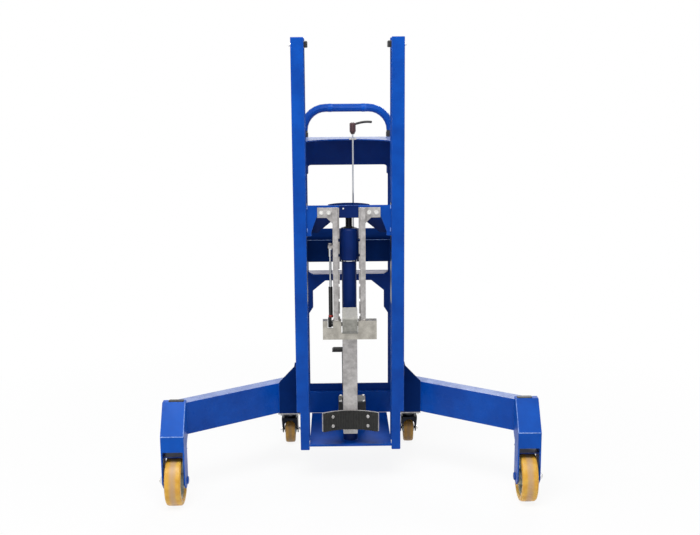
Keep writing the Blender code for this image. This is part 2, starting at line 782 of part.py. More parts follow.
def rear_frame():
    """Folded sheet with returned sides, laser-cut windows and a flange over its arch."""
    front = REAR_FRAME_FRONT
    thick = REAR_FRAME_THICK
    rear = front + thick
    lip = rear - RETURN_DEPTH
    half = MAST_HALF
    fold = [(half, lip), (half, rear), (-half, rear), (-half, lip), (thick - half, lip),
            (thick - half, front), (half - thick, front), (half - thick, lip)]
    sheet = plate("rear_frame", [fold], BEAM_TOP + GAP, REAR_FRAME_TOP, "Z")
    half_arch = [(WINDOW_HALF, ARCH_BOTTOM), (WINDOW_HALF, ARCH_KNEE),
                 (ARCH_WAIST_HALF, ARCH_WAIST), (ARCH_WAIST_HALF, ARCH_SHOULDER),
                 (ARCH_TOP_HALF, ARCH_TOP)]
    windows = [rounded_window(WINDOW_HALF, UPPER_WINDOW[0], UPPER_WINDOW[1], WINDOW_ROUND),
               rectangle((-WINDOW_HALF, LOWER_WINDOW[0]), (WINDOW_HALF, LOWER_WINDOW[1])),
               half_arch + mirrored(reversed(half_arch), -1)]
    past = 0.01
    tools = [plate("rear_frame_window", [window], front - past, rear + past, "Y")
             for window in windows]
    cut(sheet, *tools)
    flange_half = [(WINDOW_HALF, front + thick / 2), (WINDOW_HALF, front - FLANGE_CHAMFER),
                   (WINDOW_HALF - FLANGE_CHAMFER, front - FLANGE_DEPTH)]
    flange = plate("rear_frame_flange", [flange_half + mirrored(reversed(flange_half), -1)],
                   FLANGE_TOP - FLANGE_THICK, FLANGE_TOP, "Z")
    return register(join(sheet, flange), "blue_paint")


def console_deck():
    """Top plate of the console, hollowed in front so that the load can be seen."""
    rear = REAR_FRAME_FRONT + REAR_FRAME_THICK
    half = MAST_INNER
    radius = (half ** 2 + DECK_HOLLOW ** 2) / (2 * DECK_HOLLOW)
    centre_y = DECK_HOLLOW_Y + DECK_HOLLOW - radius
    spread = Vector((half, DECK_HOLLOW_Y - centre_y)).angle(Vector((0, 1)))
    hollow = arc((0.0, centre_y), radius, pi / 2 - spread, pi / 2 + spread, 16)
    outline = ([(MAST_HALF, rear), (MAST_HALF, MAST_REAR + GAP), (half, MAST_REAR + GAP)] + hollow
               + [(-half, MAST_REAR + GAP), (-MAST_HALF, MAST_REAR + GAP), (-MAST_HALF, rear)])
    bottom = REAR_FRAME_TOP + GAP
    return register(plate("console_deck", [outline], bottom, bottom + DECK_THICK, "Z"), "blue_paint")


def mid_shelf():
    """Folded shelf that ties the posts to the rear frame, holed for the release rod."""
    front, rear = MAST_REAR + GAP, REAR_FRAME_FRONT - GAP
    profile = [(front, SHELF_TOP), (front, SHELF_TOP - SHELF_APRON),
               (front + SHELF_THICK, SHELF_TOP - SHELF_APRON),
               (front + SHELF_THICK, SHELF_TOP - SHELF_THICK), (rear, SHELF_TOP - SHELF_THICK),
               (rear, SHELF_TOP)]
    half = MAST_HALF - REAR_FRAME_THICK - GAP
    sheet = plate("mid_shelf", [profile], -half, half, "X")
    hole = rod("mid_shelf_hole", RELEASE_R + 0.003, (RELEASE_X, RELEASE_Y, SHELF_TOP - 0.02),
               (RELEASE_X, RELEASE_Y, SHELF_TOP + 0.02))
    return register(cut(sheet, hole), "blue_paint")


def push_handle():
    y = REAR_FRAME_FRONT + REAR_FRAME_THICK + HANDLE_R + GAP
    right = arc((HANDLE_HALF - HANDLE_BEND, HANDLE_TOP - HANDLE_BEND), HANDLE_BEND, 0, pi / 2, 7)
    left = [(-x, z) for x, z in reversed(right)]
    route = [(HANDLE_HALF, HANDLE_FOOT)] + right + left + [(-HANDLE_HALF, HANDLE_FOOT)]
    handle = tube("push_handle", [(x, y, z) for x, z in route], HANDLE_R)
    return register(handle, "blue_paint")


def ram():
    base = FLOOR_TOP + GAP
    barrel = [(RAM_BORE, RAM_TOP), (RAM_R, RAM_TOP), (RAM_R, base), (0.0, base)]
    barrel = [(0.0, base + RAM_FLOOR), (RAM_BORE, base + RAM_FLOOR)] + barrel
    register(turned("ram_cylinder", barrel, (0, RAM_Y, 0)), "blue_paint")
    bore = ROD_R + GAP
    shoulder = arc((GLAND_R - GLAND_SHOULDER, GLAND_TOP - GLAND_SHOULDER), GLAND_SHOULDER,
                   pi / 2, 0, 4)
    profile = [(bore, GLAND_TOP)] + shoulder + [(GLAND_R, RAM_TOP + GAP), (bore, RAM_TOP + GAP)]
    register(turned("ram_gland", profile, (0, RAM_Y, 0), ring=True), "blue_paint")


def pump():
    width, depth, height = PUMP_SIZE
    base = FLOOR_TOP + GAP
    top = base + height
    body = block("pump_body", (PUMP_X - width / 2, PUMP_Y - depth / 2, base),
                 (PUMP_X + width / 2, PUMP_Y + depth / 2, top), bevel=PUMP_ROUND)
    boss = rod("pump_valve_boss", VALVE_R, (RELEASE_X, RELEASE_Y, top - PUMP_ROUND),
               (RELEASE_X, RELEASE_Y, top + VALVE_HEIGHT))
    y, z = PEDAL_PIVOT
    low = PEDAL_X + PEDAL_THICK / 2 + GAP
    cheek = [(y - EAR_R, top - PUMP_ROUND), (y + EAR_R, top - PUMP_ROUND)]
    cheek += arc((y, z), EAR_R, 0, pi, 8)
    ear = plate("pump_ear", [cheek], low, low + EAR_THICK, "X")
    hole = rod("pump_ear_hole", PEDAL_PIN_R + GAP, (low - 0.01, y, z), (low + 0.02, y, z))
    register(cut(join(body, boss, ear), hole), "black_steel")
    front = PUMP_Y - depth / 2 - GAP
    pipe = tube("pressure_pipe", [(0.0, front, PIPE_Z), (0.0, RAM_Y + RAM_R + GAP, PIPE_Z)],
                PIPE_R, sides=3)
    register(pipe, "steel")


def pedal():
    y, z = PEDAL_PIVOT
    knee_y, knee_z = PEDAL_KNEE
    half = PEDAL_HEIGHT / 2
    pad_width, pad_thick = PEDAL_PAD
    outline = arc((y, z), half, pi / 2, 3 * pi / 2, 6)
    outline += [(knee_y + half, knee_z - half), (PEDAL_REAR - half, knee_z - 0.001),
                (knee_y - half, knee_z + 0.002)]
    arm = plate("foot_pedal", [outline], PEDAL_X - PEDAL_THICK / 2, PEDAL_X + PEDAL_THICK / 2, "X")
    pin_end = PEDAL_X + PEDAL_THICK / 2 + EAR_THICK + 0.004
    pin = rod("foot_pedal_pin", PEDAL_PIN_R, (PEDAL_X, y, z), (pin_end, y, z))
    tread = block("foot_pedal_tread", (PEDAL_X - pad_width / 2, knee_y, knee_z - pad_thick / 2),
                  (PEDAL_X + pad_width / 2, PEDAL_REAR, knee_z + pad_thick / 2), bevel=0.002)
    axis = pivot("foot_pedal_axis", (PEDAL_X, y, z))
    hang(register(join(arm, pin, tread), "black_steel"), axis)


def release_control():
    """The rod that opens the lowering valve, its hand lever and its guide on the console."""
    axis = pivot("release_axis", (RELEASE_X, RELEASE_Y, HUB_BOTTOM))
    foot = FLOOR_TOP + GAP + PUMP_SIZE[2] + VALVE_HEIGHT + GAP
    stem = rod("release_rod", RELEASE_R, (RELEASE_X, RELEASE_Y, foot),
               (RELEASE_X, RELEASE_Y, HUB_BOTTOM - GAP))
    hang(register(stem, "chrome"), axis)
    top = arc((LEVER_HUB_R - HUB_ROUND, HUB_HEIGHT - HUB_ROUND), HUB_ROUND, pi / 2, 0, 3)
    profile = [(0.0, HUB_HEIGHT)] + top + [(LEVER_HUB_R, HUB_NECK_HEIGHT),
                                           (LEVER_HUB_R - HUB_NECK, 0.0), (0.0, 0.0)]
    hub = turned("release_lever", profile, (RELEASE_X, RELEASE_Y, HUB_BOTTOM), steps=SMALL_ROUND)
    route = []
    for i in range(LEVER_STEPS + 1):
        share = i / LEVER_STEPS
        rise = LEVER_RISE * sin(pi * share * LEVER_CREST)
        route.append((RELEASE_X + LEVER_REACH * share, RELEASE_Y, HUB_TOP - LEVER_DROP + rise))
    arm = tube("release_lever_arm", route, LEVER_R, sides=2)
    hang(register(join(hub, arm), "black_plastic"), axis)
    bottom = REAR_FRAME_TOP + GAP + DECK_THICK + GAP
    x = RELEASE_X
    strip = rectangle((x - GUIDE_WIDTH / 2, RELEASE_Y - GUIDE_WIDTH / 2),
                      (x + GUIDE_WIDTH / 2, GUIDE_REAR))
    eye = arc((x, RELEASE_Y), RELEASE_R + GAP, 0, 2 * pi * 15 / 16, 15)
    register(plate("rod_guide", [strip, eye], bottom, bottom + GUIDE_THICK, "Z"), "zinc")


def carriage_plates():
    front = MAST_FRONT + POST_FLANGE + CARRIAGE_RUN
    rear = MAST_REAR - POST_FLANGE - CARRIAGE_RUN
    top, half = CARRIAGE_TOP, CARRIAGE_HALF
    band = top - CARRIAGE_BAND
    foot = top - CARRIAGE_DROP
    rear_top = REAR_PLATE_TOP
    leg = half - FRONT_LEG
    front_half = [(half, top), (half, foot), (leg, foot), (leg, foot + FRONT_LEG_FOOT),
                  (leg - FRONT_LEG_BRACE, band)]
    sheet = plate("carriage_front_plate", [front_half + mirrored(reversed(front_half), -1)],
                  front, front + CARRIAGE_PLATE, "Y")
    register(sheet, "blue_paint")
    leg = half - REAR_LEG
    back_half = [(half, rear_top), (half, foot), (leg, foot),
                 (leg - REAR_LEG_BRACE, rear_top - REAR_BAND)]
    back = plate("carriage_rear_plate", [back_half + mirrored(reversed(back_half), -1)],
                 rear - CARRIAGE_PLATE, rear, "Y")
    register(back, "blue_paint")
    return front + CARRIAGE_PLATE + GAP, rear - CARRIAGE_PLATE - GAP


def roller_radius():
    return POST_DEPTH / 2 - POST_FLANGE - GAP


def carriage_side(side_name, side, front, rear, lift):
    """Side bar with two stub axles, and the rollers that run in the post on them."""
    inner = MAST_INNER + SIDE_BAR_PLAY
    outer = inner + SIDE_BAR_THICK
    ends = sorted((side * inner, side * outer))
    bar = block("carriage_side_bar_" + side_name, (ends[0], front, SIDE_BAR_BOTTOM),
                (ends[1], rear, CARRIAGE_TOP))
    tip = outer + GAP + ROLLER_WIDTH + GAP
    root = (inner + outer) / 2
    stubs = [rod("stub", STUB_R, (side * root, RAM_Y, z), (side * tip, RAM_Y, z))
             for z in ROLLER_Z]
    hang(register(join(bar, *stubs), "black_steel"), lift)
    middle = outer + GAP + ROLLER_WIDTH / 2
    for level, z in zip(("upper", "lower"), ROLLER_Z):
        name = "mast_roller_" + level + "_" + side_name
        axis = pivot(name + "_axis", (side * middle, RAM_Y, z))
        hang(axis, lift)
        half = ROLLER_WIDTH / 2
        radius = roller_radius()
        bore = STUB_R + GAP
        edge = 0.002
        profile = [(bore, half), (radius - edge, half), (radius, half - edge),
                   (radius, edge - half), (radius - edge, -half), (bore, -half)]
        wheel = turned(name, profile, (side * middle, RAM_Y, z), "X", ring=True)
        hang(register(wheel, "steel"), axis)


def yoke(front, rear, lift):
    """Block that the piston rod pushes, with its plate over the carriage."""
    plate_bottom = CARRIAGE_TOP - YOKE_PLATE_THICK
    body = block("lift_yoke", (-YOKE_HALF, front, YOKE_BOTTOM),
                 (YOKE_HALF, rear, plate_bottom + YOKE_PLATE_THICK / 2))
    half = YOKE_PLATE_HALF
    radius = (half ** 2 + YOKE_BOW ** 2) / (2 * YOKE_BOW)
    crown = rear - YOKE_SET
    spread = Vector((half, radius - YOKE_BOW)).angle(Vector((0, 1)))
    rear_edge = arc((0.0, crown - radius), radius, pi / 2 - spread, pi / 2 + spread, 12)
    outline = [(-half, front + YOKE_SET), (half, front + YOKE_SET)] + rear_edge
    cap = plate("lift_yoke_cap", [outline], plate_bottom, CARRIAGE_TOP, "Z")
    hang(register(join(body, cap), "blue_paint"), lift)
    end = YOKE_BOTTOM - GAP
    piston_low = PISTON_TOP - PISTON_HEIGHT
    piston = RAM_BORE - GAP
    profile = [(0.0, end), (ROD_R, end), (ROD_R, PISTON_TOP), (piston, PISTON_TOP),
               (piston, piston_low), (0.0, piston_low)]
    shaft = turned("piston_rod", profile, (0, RAM_Y, 0), steps=24)
    hang(register(shaft, "chrome"), lift)


def rail(side_name, side, seat, lift):
    """Bolt-on lug, face bar and notched strip; the left rail also holds the strut's tab."""
    inner = RAIL_OUTER - RAIL_FACE
    lug_in = LUG_INNER
    rear = seat - GAP

    def span(name, near, far, low_y, high_y, low_z, high_z):
        ends = sorted((side * near, side * far))
        return block(name, (ends[0], low_y, low_z), (ends[1], high_y, high_z))

    name = "gripper_rail_" + side_name
    foot = LUG_TOP - LUG_HEIGHT
    knee = foot - GUSSET_DROP
    lug_outline = [(lug_in, knee), (RAIL_OUTER - 0.002, knee), (RAIL_OUTER + GUSSET_REACH, foot),
                   (lug_in + LUG_WIDTH, foot), (lug_in + LUG_WIDTH, LUG_TOP), (lug_in, LUG_TOP)]
    lug = plate(name, [mirrored(lug_outline, side)], rear - LUG_THICK, rear, "Y")
    back = rear - RAIL_SET
    face = back - STRIP_THICK
    section = [(RAIL_OUTER, back), (RAIL_OUTER - STRIP_WIDTH, back), (RAIL_OUTER - STRIP_WIDTH, face),
               (inner, face), (inner, face - RAIL_DEPTH), (RAIL_OUTER, face - RAIL_DEPTH)]
    bar = plate(name + "_bar", [mirrored(section, side)], RAIL_BOTTOM, LUG_TOP - 0.001, "Z")
    tools = [bar]
    if side < 0:
        tools.append(span(name + "_tab", RAIL_OUTER - 0.010, -STRUT_X + STRUT_R,
                          face + STRIP_THICK / 2, JAW_Y + STRUT_ARM + STRUT_R,
                          STRUT_TOP, STRUT_TOP + STRUT_TAB))
    body = join(lug, *tools)
    edge = RAIL_OUTER - STRIP_WIDTH
    notches = [span(name + "_notch", edge - 0.01, edge + NOTCH_DEPTH, rear - 0.01, rear + 0.01,
                    NOTCH_FIRST - NOTCH_PITCH * i - NOTCH_HEIGHT, NOTCH_FIRST - NOTCH_PITCH * i)
               for i in range(NOTCH_COUNT)]
    hang(register(cut(body, *notches), "zinc"), lift)


def gripper_head(lift):
    """Cross plate with a top flange under the rails and two ears for the jaw's shaft."""
    top = RAIL_BOTTOM - GAP
    bottom = top - HEAD_HEIGHT
    inner = BEAK_WIDTH / 2 + BEAK_SLOT
    angle = [(HEAD_FRONT, bottom), (HEAD_FRONT, top), (HEAD_REAR, top),
             (HEAD_REAR, top - HEAD_PLATE), (HEAD_FRONT + HEAD_PLATE, top - HEAD_PLATE),
             (HEAD_FRONT + HEAD_PLATE, bottom)]
    face = plate("gripper_head", [angle], -HEAD_HALF, HEAD_HALF, "X")
    ears = []
    for side in (-1, 1):
        ends = sorted((side * inner, side * (inner + CHEEK_EAR)))
        ears.append(block("gripper_head_ear", (ends[0], HEAD_FRONT + HEAD_PLATE / 2, bottom + EAR_RISE),
                          (ends[1], HEAD_REAR - EAR_SETBACK, top - HEAD_PLATE / 2)))
    past = 0.02
    mouth = block("gripper_head_mouth", (-inner, HEAD_FRONT - past, bottom + HEAD_MOUTH_RISE),
                  (inner, HEAD_REAR + past, top + past))
    bore = rod("gripper_head_bore", SHAFT_R + GAP, (-inner - past, JAW_Y, JAW_Z),
               (inner + past, JAW_Y, JAW_Z))
    slot = block("gripper_head_slot",
                 (STRUT_X - HEAD_SLOT_OUTER, HEAD_FRONT - past, top - HEAD_SLOT_DEPTH),
                 (STRUT_X + HEAD_SLOT_INNER, HEAD_REAR + past, top + past))
    hang(register(cut(join(face, *ears), mouth, bore, slot), "steel"), lift)


def beak(axis):
    """Upper jaw: an arm from its eye over the rim, with a hook that drops inside it."""
    hook_in = BEAK_FRONT + BEAK_HOOK
    eye = arc((JAW_Y, JAW_Z), JAW_EYE_R, radians(-110), radians(60), 8)
    outline = eye + [(JAW_Y - 0.004, JAW_Z + 2 * JAW_EYE_R), (JAW_Y - BEAK_SETBACK, BEAK_TOP_REAR),
                     (BEAK_FRONT + 0.006, BEAK_TOP_FRONT + 0.002), (BEAK_FRONT, BEAK_TOP_FRONT - 0.004),
                     (BEAK_FRONT, BEAK_TIP + 0.012), (BEAK_FRONT + 0.008, BEAK_TIP),
                     (hook_in - 0.008, BEAK_TIP), (hook_in, BEAK_TIP + 0.008),
                     (hook_in + 0.004, BEAK_MOUTH - 0.006), (hook_in + 0.012, BEAK_MOUTH),
                     (JAW_Y - 0.030, BEAK_MOUTH)]
    half = BEAK_WIDTH / 2
    jaw = plate("beak_jaw", [outline], -half, half, "X")
    bore = rod("beak_bore", SHAFT_R + GAP, (-half - 0.01, JAW_Y, JAW_Z),
               (half + 0.01, JAW_Y, JAW_Z))
    hang(register(cut(jaw, bore), "zinc"), axis)


def jaw_shaft(axis):
    """Cross shaft of the jaw with the slotted lever that the strut works on."""
    inner = BEAK_WIDTH / 2 + BEAK_SLOT
    shaft = rod("jaw_shaft", SHAFT_R, (LEVER_X - SHAFT_PROUD_LEVER, JAW_Y, JAW_Z),
                (inner + CHEEK_EAR + SHAFT_PROUD, JAW_Y, JAW_Z))
    tip = STRUT_ARM + SLOT_HALF_TRAVEL + LEVER_TIP_SPARE
    round_end = LEVER_HALF
    far = arc((JAW_Y + tip, JAW_Z), round_end, -pi / 2, pi / 2, 8)
    near = arc((JAW_Y, JAW_Z), round_end + LEVER_EYE_SPARE, pi / 2, 3 * pi / 2, 8)
    clear = STRUT_PIN_R + STRUT_PIN_PLAY
    low = JAW_Y + STRUT_ARM - SLOT_SPARE
    high = JAW_Y + STRUT_ARM + SLOT_HALF_TRAVEL + SLOT_SPARE
    slot = (arc((high, JAW_Z), clear, -pi / 2, pi / 2, 6)
            + arc((low, JAW_Z), clear, pi / 2, 3 * pi / 2, 6))
    lever = plate("jaw_lever", [far + near, slot], LEVER_X - LEVER_THICK / 2,
                  LEVER_X + LEVER_THICK / 2, "X")
    hang(register(join(shaft, lever), "steel"), axis)


def strut(lift):
    """Spring strut: a rod held by the left rail, and a cylinder that slides on it."""
    y = JAW_Y + STRUT_ARM
    top = STRUT_TOP - GAP
    fitting = top - STRUT_FITTING
    profile = [(0.0, top), (STRUT_R, top), (STRUT_R, fitting), (STRUT_ROD_R, fitting),
               (STRUT_ROD_R, STRUT_ROD_BOTTOM), (0.0, STRUT_ROD_BOTTOM)]
    hang(register(turned("strut_rod", profile, (STRUT_X, y, 0), steps=SMALL_ROUND), "chrome"), lift)
    bore = STRUT_ROD_R + GAP
    floor = STRUT_CYL_BOTTOM + STRUT_FLOOR
    profile = [(0.0, floor), (bore, floor), (bore, STRUT_CYL_TOP), (STRUT_R, STRUT_CYL_TOP),
               (STRUT_R, STRUT_CYL_BOTTOM), (0.0, STRUT_CYL_BOTTOM)]
    body = turned("strut_cylinder", profile, (STRUT_X, y, 0), steps=SMALL_ROUND)
    tongue_high = LEVER_X - LEVER_THICK / 2 - TONGUE_GAP
    tongue = block("strut_tongue", (tongue_high - TONGUE_THICK, y - TONGUE_HALF, JAW_Z - TONGUE_DROP),
                   (tongue_high, y + TONGUE_HALF, STRUT_CYL_BOTTOM + TONGUE_SINK))
    pin = rod("strut_pin", STRUT_PIN_R, (tongue_high - STRUT_PIN_SINK, y, JAW_Z),
              (LEVER_X + LEVER_THICK / 2 + STRUT_PIN_PROUD, y, JAW_Z))
    axis = pivot("strut_slide", (STRUT_X, y, JAW_Z))
    hang(axis, lift)
    hang(register(join(body, tongue, pin), "black_steel"), axis)


def load_rest(lift):
    """Spine below the head with a curved saddle and its rubber pad."""
    half = SPINE_WIDTH / 2
    front = HEAD_FRONT + HEAD_PLATE + GAP
    spine = block("rest_spine", (-half, front, SPINE_BOTTOM), (half, front + SPINE_DEPTH, SPINE_TOP),
                  bevel=0.002)
    hang(register(spine, "zinc"), lift)

    def shell(name, inner, outer, finish):
        low, high = pi / 2 - SADDLE_SPAN, pi / 2 + SADDLE_SPAN
        outline = (arc((0.0, LOAD_Y), outer, low, high, 12)
                   + arc((0.0, LOAD_Y), inner, high, low, 12))
        piece = plate(name, [outline], SADDLE_BOTTOM, SADDLE_BOTTOM + SADDLE_HEIGHT, "Z")
        hang(register(piece, finish), lift)

    pad_outer = PAD_R + PAD_THICK
    shell("rest_pad", PAD_R, pad_outer, "rubber")
    shell("rest_saddle", pad_outer + GAP, front - LOAD_Y - GAP, "zinc")


def build():
    sides = (("left", -1), ("right", 1))
    base_beam()
    base_floor()
    for name, side in sides:
        mast_post("mast_post_" + name, side)
        post_stop("post_stop_" + name, side)
        base_side("base_side_" + name, side)
        leg("leg_" + name, side)
        fork("wheel_fork_" + name, side)
        front_axle("front_axle_" + name, side)
        front_wheel(name, side)
        castor(name, side)
    rear_frame()
    console_deck()
    mid_shelf()
    push_handle()
    ram()
    pump()
    pedal()
    release_control()
    lift = pivot("lift_axis", (0, RAM_Y, YOKE_BOTTOM))
    front, rear = carriage_plates()
    for node in ("carriage_front_plate", "carriage_rear_plate"):
        hang(bpy.data.objects[node], lift)
    for name, side in sides:
        carriage_side(name, side, front, rear, lift)
        rail(name, side, front - GAP - CARRIAGE_PLATE, lift)
    yoke(front, rear, lift)
    gripper_head(lift)
    strut(lift)
    load_rest(lift)
    jaw_axis = pivot("jaw_axis", (0, JAW_Y, JAW_Z))
    hang(jaw_axis, lift)
    beak(jaw_axis)
    jaw_shaft(jaw_axis)


build()
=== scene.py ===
# %% [markdown]
# A drum lifter is a steel mast on wheels. Its carriage rides up the mast on a hydraulic ram and
# carries a beak that grips its load by the rim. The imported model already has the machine's solids
# and joints, so this lesson adds what makes them look real: finishes, welds, bolts and wheels.

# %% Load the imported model
import json
from math import atan, cos, pi, radians, sin

import bmesh
import bpy
from mathutils import Matrix, Vector


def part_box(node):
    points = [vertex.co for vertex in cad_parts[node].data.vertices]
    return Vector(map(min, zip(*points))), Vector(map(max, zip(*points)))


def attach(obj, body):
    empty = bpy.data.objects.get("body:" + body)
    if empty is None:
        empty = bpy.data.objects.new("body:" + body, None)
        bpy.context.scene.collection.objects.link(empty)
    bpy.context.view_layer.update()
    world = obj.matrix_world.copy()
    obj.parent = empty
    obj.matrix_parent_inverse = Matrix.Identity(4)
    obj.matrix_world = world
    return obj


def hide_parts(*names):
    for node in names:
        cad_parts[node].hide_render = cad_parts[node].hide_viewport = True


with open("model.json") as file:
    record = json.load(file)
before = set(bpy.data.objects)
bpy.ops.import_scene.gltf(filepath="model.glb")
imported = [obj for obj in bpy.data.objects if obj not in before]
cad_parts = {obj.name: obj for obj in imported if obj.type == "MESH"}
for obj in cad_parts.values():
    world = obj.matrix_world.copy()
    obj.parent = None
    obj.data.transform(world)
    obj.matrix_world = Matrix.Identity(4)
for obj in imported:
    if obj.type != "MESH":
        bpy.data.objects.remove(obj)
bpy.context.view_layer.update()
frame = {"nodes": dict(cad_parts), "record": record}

nodes = frame["nodes"]

SIDES = (("left", -1), ("right", 1))
MM = 0.001

# %% [markdown]
# Colours are written as sRGB hex, the way a paint card gives them, and one function turns them
# into the linear values that the shader wants. Numbers typed straight into a shader are linear,
# and nobody can read a paint's shade from those. A second function adds a node with its links,
# so each material below reads as a short list of what feeds what.

# %% Colours and nodes


def linear(code):
    """An sRGB hex code as linear red, green, blue and alpha."""
    parts = [int(code[i:i + 2], 16) / 255 for i in (1, 3, 5)]
    return [p / 12.92 if p <= 0.04045 else ((p + 0.055) / 1.055) ** 2.4 for p in parts] + [1.0]


def add(tree, kind, inputs=None, **settings):
    """Adds one node, sets its properties, and links or sets each named input."""
    node = tree.nodes.new(kind)
    for name, value in settings.items():
        setattr(node, name, value)
    for key, value in (inputs or {}).items():
        if isinstance(value, bpy.types.NodeSocket):
            tree.links.new(value, node.inputs[key])
        else:
            node.inputs[key].default_value = value
    return node


COLOUR_A, COLOUR_B, COLOUR_OUT = 6, 7, 2
print("royal blue in linear light:", [round(value, 3) for value in linear("#04409A")[:3]])

# %% [markdown]
# A painted or plated face is never one flat colour, because its coat is a little thicker here
# and a little cleaner there. An image could paint that, but it would need every solid laid out
# flat. Noise in the object's own space needs no layout, and its scale is a real size in
# millimetres, so a patch is as large on a leg as on a post.

# %% Mottled tones
TONE_RANGE = (0.36, 0.64)


def mottled(tree, place, tones, patch_mm):
    """Two tones mixed over patches of a real size."""
    patches = add(tree, "ShaderNodeTexNoise", {"Vector": place, "Scale": 1000 / patch_mm, "Detail": 5.0,
                                               "Roughness": 0.62})
    mask = add(tree, "ShaderNodeMapRange", {0: patches.outputs[0], 1: TONE_RANGE[0], 2: TONE_RANGE[1]})
    tone = add(tree, "ShaderNodeMix", {0: mask.outputs[0], COLOUR_A: linear(tones[0]),
                                       COLOUR_B: linear(tones[1])}, data_type="RGBA")
    return tone.outputs[COLOUR_OUT]


print("patches are mixed over noise from", *TONE_RANGE)

# %% [markdown]
# Dust settles on faces that look up, and these tops also catch the overhead light, so the pale
# tone is dust and a painted highlight together. It could be painted by hand, but a face's normal
# already says how far up it looks, so the tone is mixed in by that, broken up by the surface's
# smears.

# %% Dust and painted highlight on top
FACES_UP = (0.9, 1.0)


def add_dust_and_highlight(tree, colour, smears, dust_and_highlight, share):
    """The colour with pale dust and a painted highlight where the surface faces up."""
    normal = add(tree, "ShaderNodeNewGeometry").outputs["Normal"]
    upward = add(tree, "ShaderNodeSeparateXYZ", {0: normal}).outputs[2]
    level = add(tree, "ShaderNodeMapRange", {0: upward, 1: FACES_UP[0], 2: FACES_UP[1], 4: share})
    dust_and_highlight_level = add(tree, "ShaderNodeMath", {0: level.outputs[0], 1: smears}, operation="MULTIPLY",
                  use_clamp=True)
    dust_and_highlight_mix = add(tree, "ShaderNodeMix", {0: dust_and_highlight_level.outputs[0], COLOUR_A: colour,
                                        COLOUR_B: linear(dust_and_highlight)}, data_type="RGBA")
    return dust_and_highlight_mix.outputs[COLOUR_OUT]


print("dust starts where a face looks", FACES_UP[0], "up")

# %% [markdown]
# Edges that are knocked in use show a paler tone, and on the blue coats the same pale tone is
# also a painted highlight where rounded edges catch the light. Modelled chips would cost
# thousands of faces, so a bevel shader finds the edges instead: where its rounded normal turns
# away from the true one, there is an edge. Chips of about 14 mm break up the pale line, because
# no edge is rubbed evenly all along.

# %% Worn edges with painted highlight
EDGE_TURN = (0.985, 0.90)
CHIP_MM = 14
CHIP_RANGE = (0.46, 0.66)


def wear_and_highlight_edges(tree, place, colour, edge_wear_and_highlight, edge_wear_and_highlight_mm, share):
    """The colour with a paler tone in chips along the edges, for wear and a painted edge highlight."""
    rounded = add(tree, "ShaderNodeBevel", {"Radius": edge_wear_and_highlight_mm * MM}, samples=4).outputs[0]
    flat = add(tree, "ShaderNodeNewGeometry").outputs["Normal"]
    turn = add(tree, "ShaderNodeVectorMath", {0: rounded, 1: flat}, operation="DOT_PRODUCT")
    edge = add(tree, "ShaderNodeMapRange", {0: turn.outputs["Value"], 1: EDGE_TURN[0], 2: EDGE_TURN[1]})
    chips = add(tree, "ShaderNodeTexNoise", {"Vector": place, "Scale": 1000 / CHIP_MM, "Detail": 7.0,
                                             "Roughness": 0.75})
    chipped = add(tree, "ShaderNodeMapRange", {0: chips.outputs[0], 1: CHIP_RANGE[0], 2: CHIP_RANGE[1],
                                               4: share})
    edge_wear_and_highlight_mask = add(tree, "ShaderNodeMath", {0: edge.outputs[0], 1: chipped.outputs[0]}, operation="MULTIPLY")
    mixed = add(tree, "ShaderNodeMix", {0: edge_wear_and_highlight_mask.outputs[0], COLOUR_A: colour,
                                        COLOUR_B: linear(edge_wear_and_highlight)}, data_type="RGBA")
    return mixed.outputs[COLOUR_OUT]


print("chips are", CHIP_MM, "mm wide")

# %% [markdown]
# Every hard surface here shares one recipe: mottled tones, dust with a painted highlight on faces
# that look up, worn edges that are also a painted edge highlight, a gloss that varies in smears,
# and a fine grain for the bump. What differs from finish to finish is the size of each pattern,
# the tones, and how the surface reflects. A pixel of the picture covers about 4 mm of the
# machine. Real grain on nylon or plating is a tenth of a millimetre wide, which would never show,
# so it is drawn 0.6 to 2 mm wide and shows in close views.

# %% The shared recipe
SMEAR_SHARE = 0.37
SMEAR_RANGE = (0.32, 0.68)
COAT_ROUGHNESS = 0.12


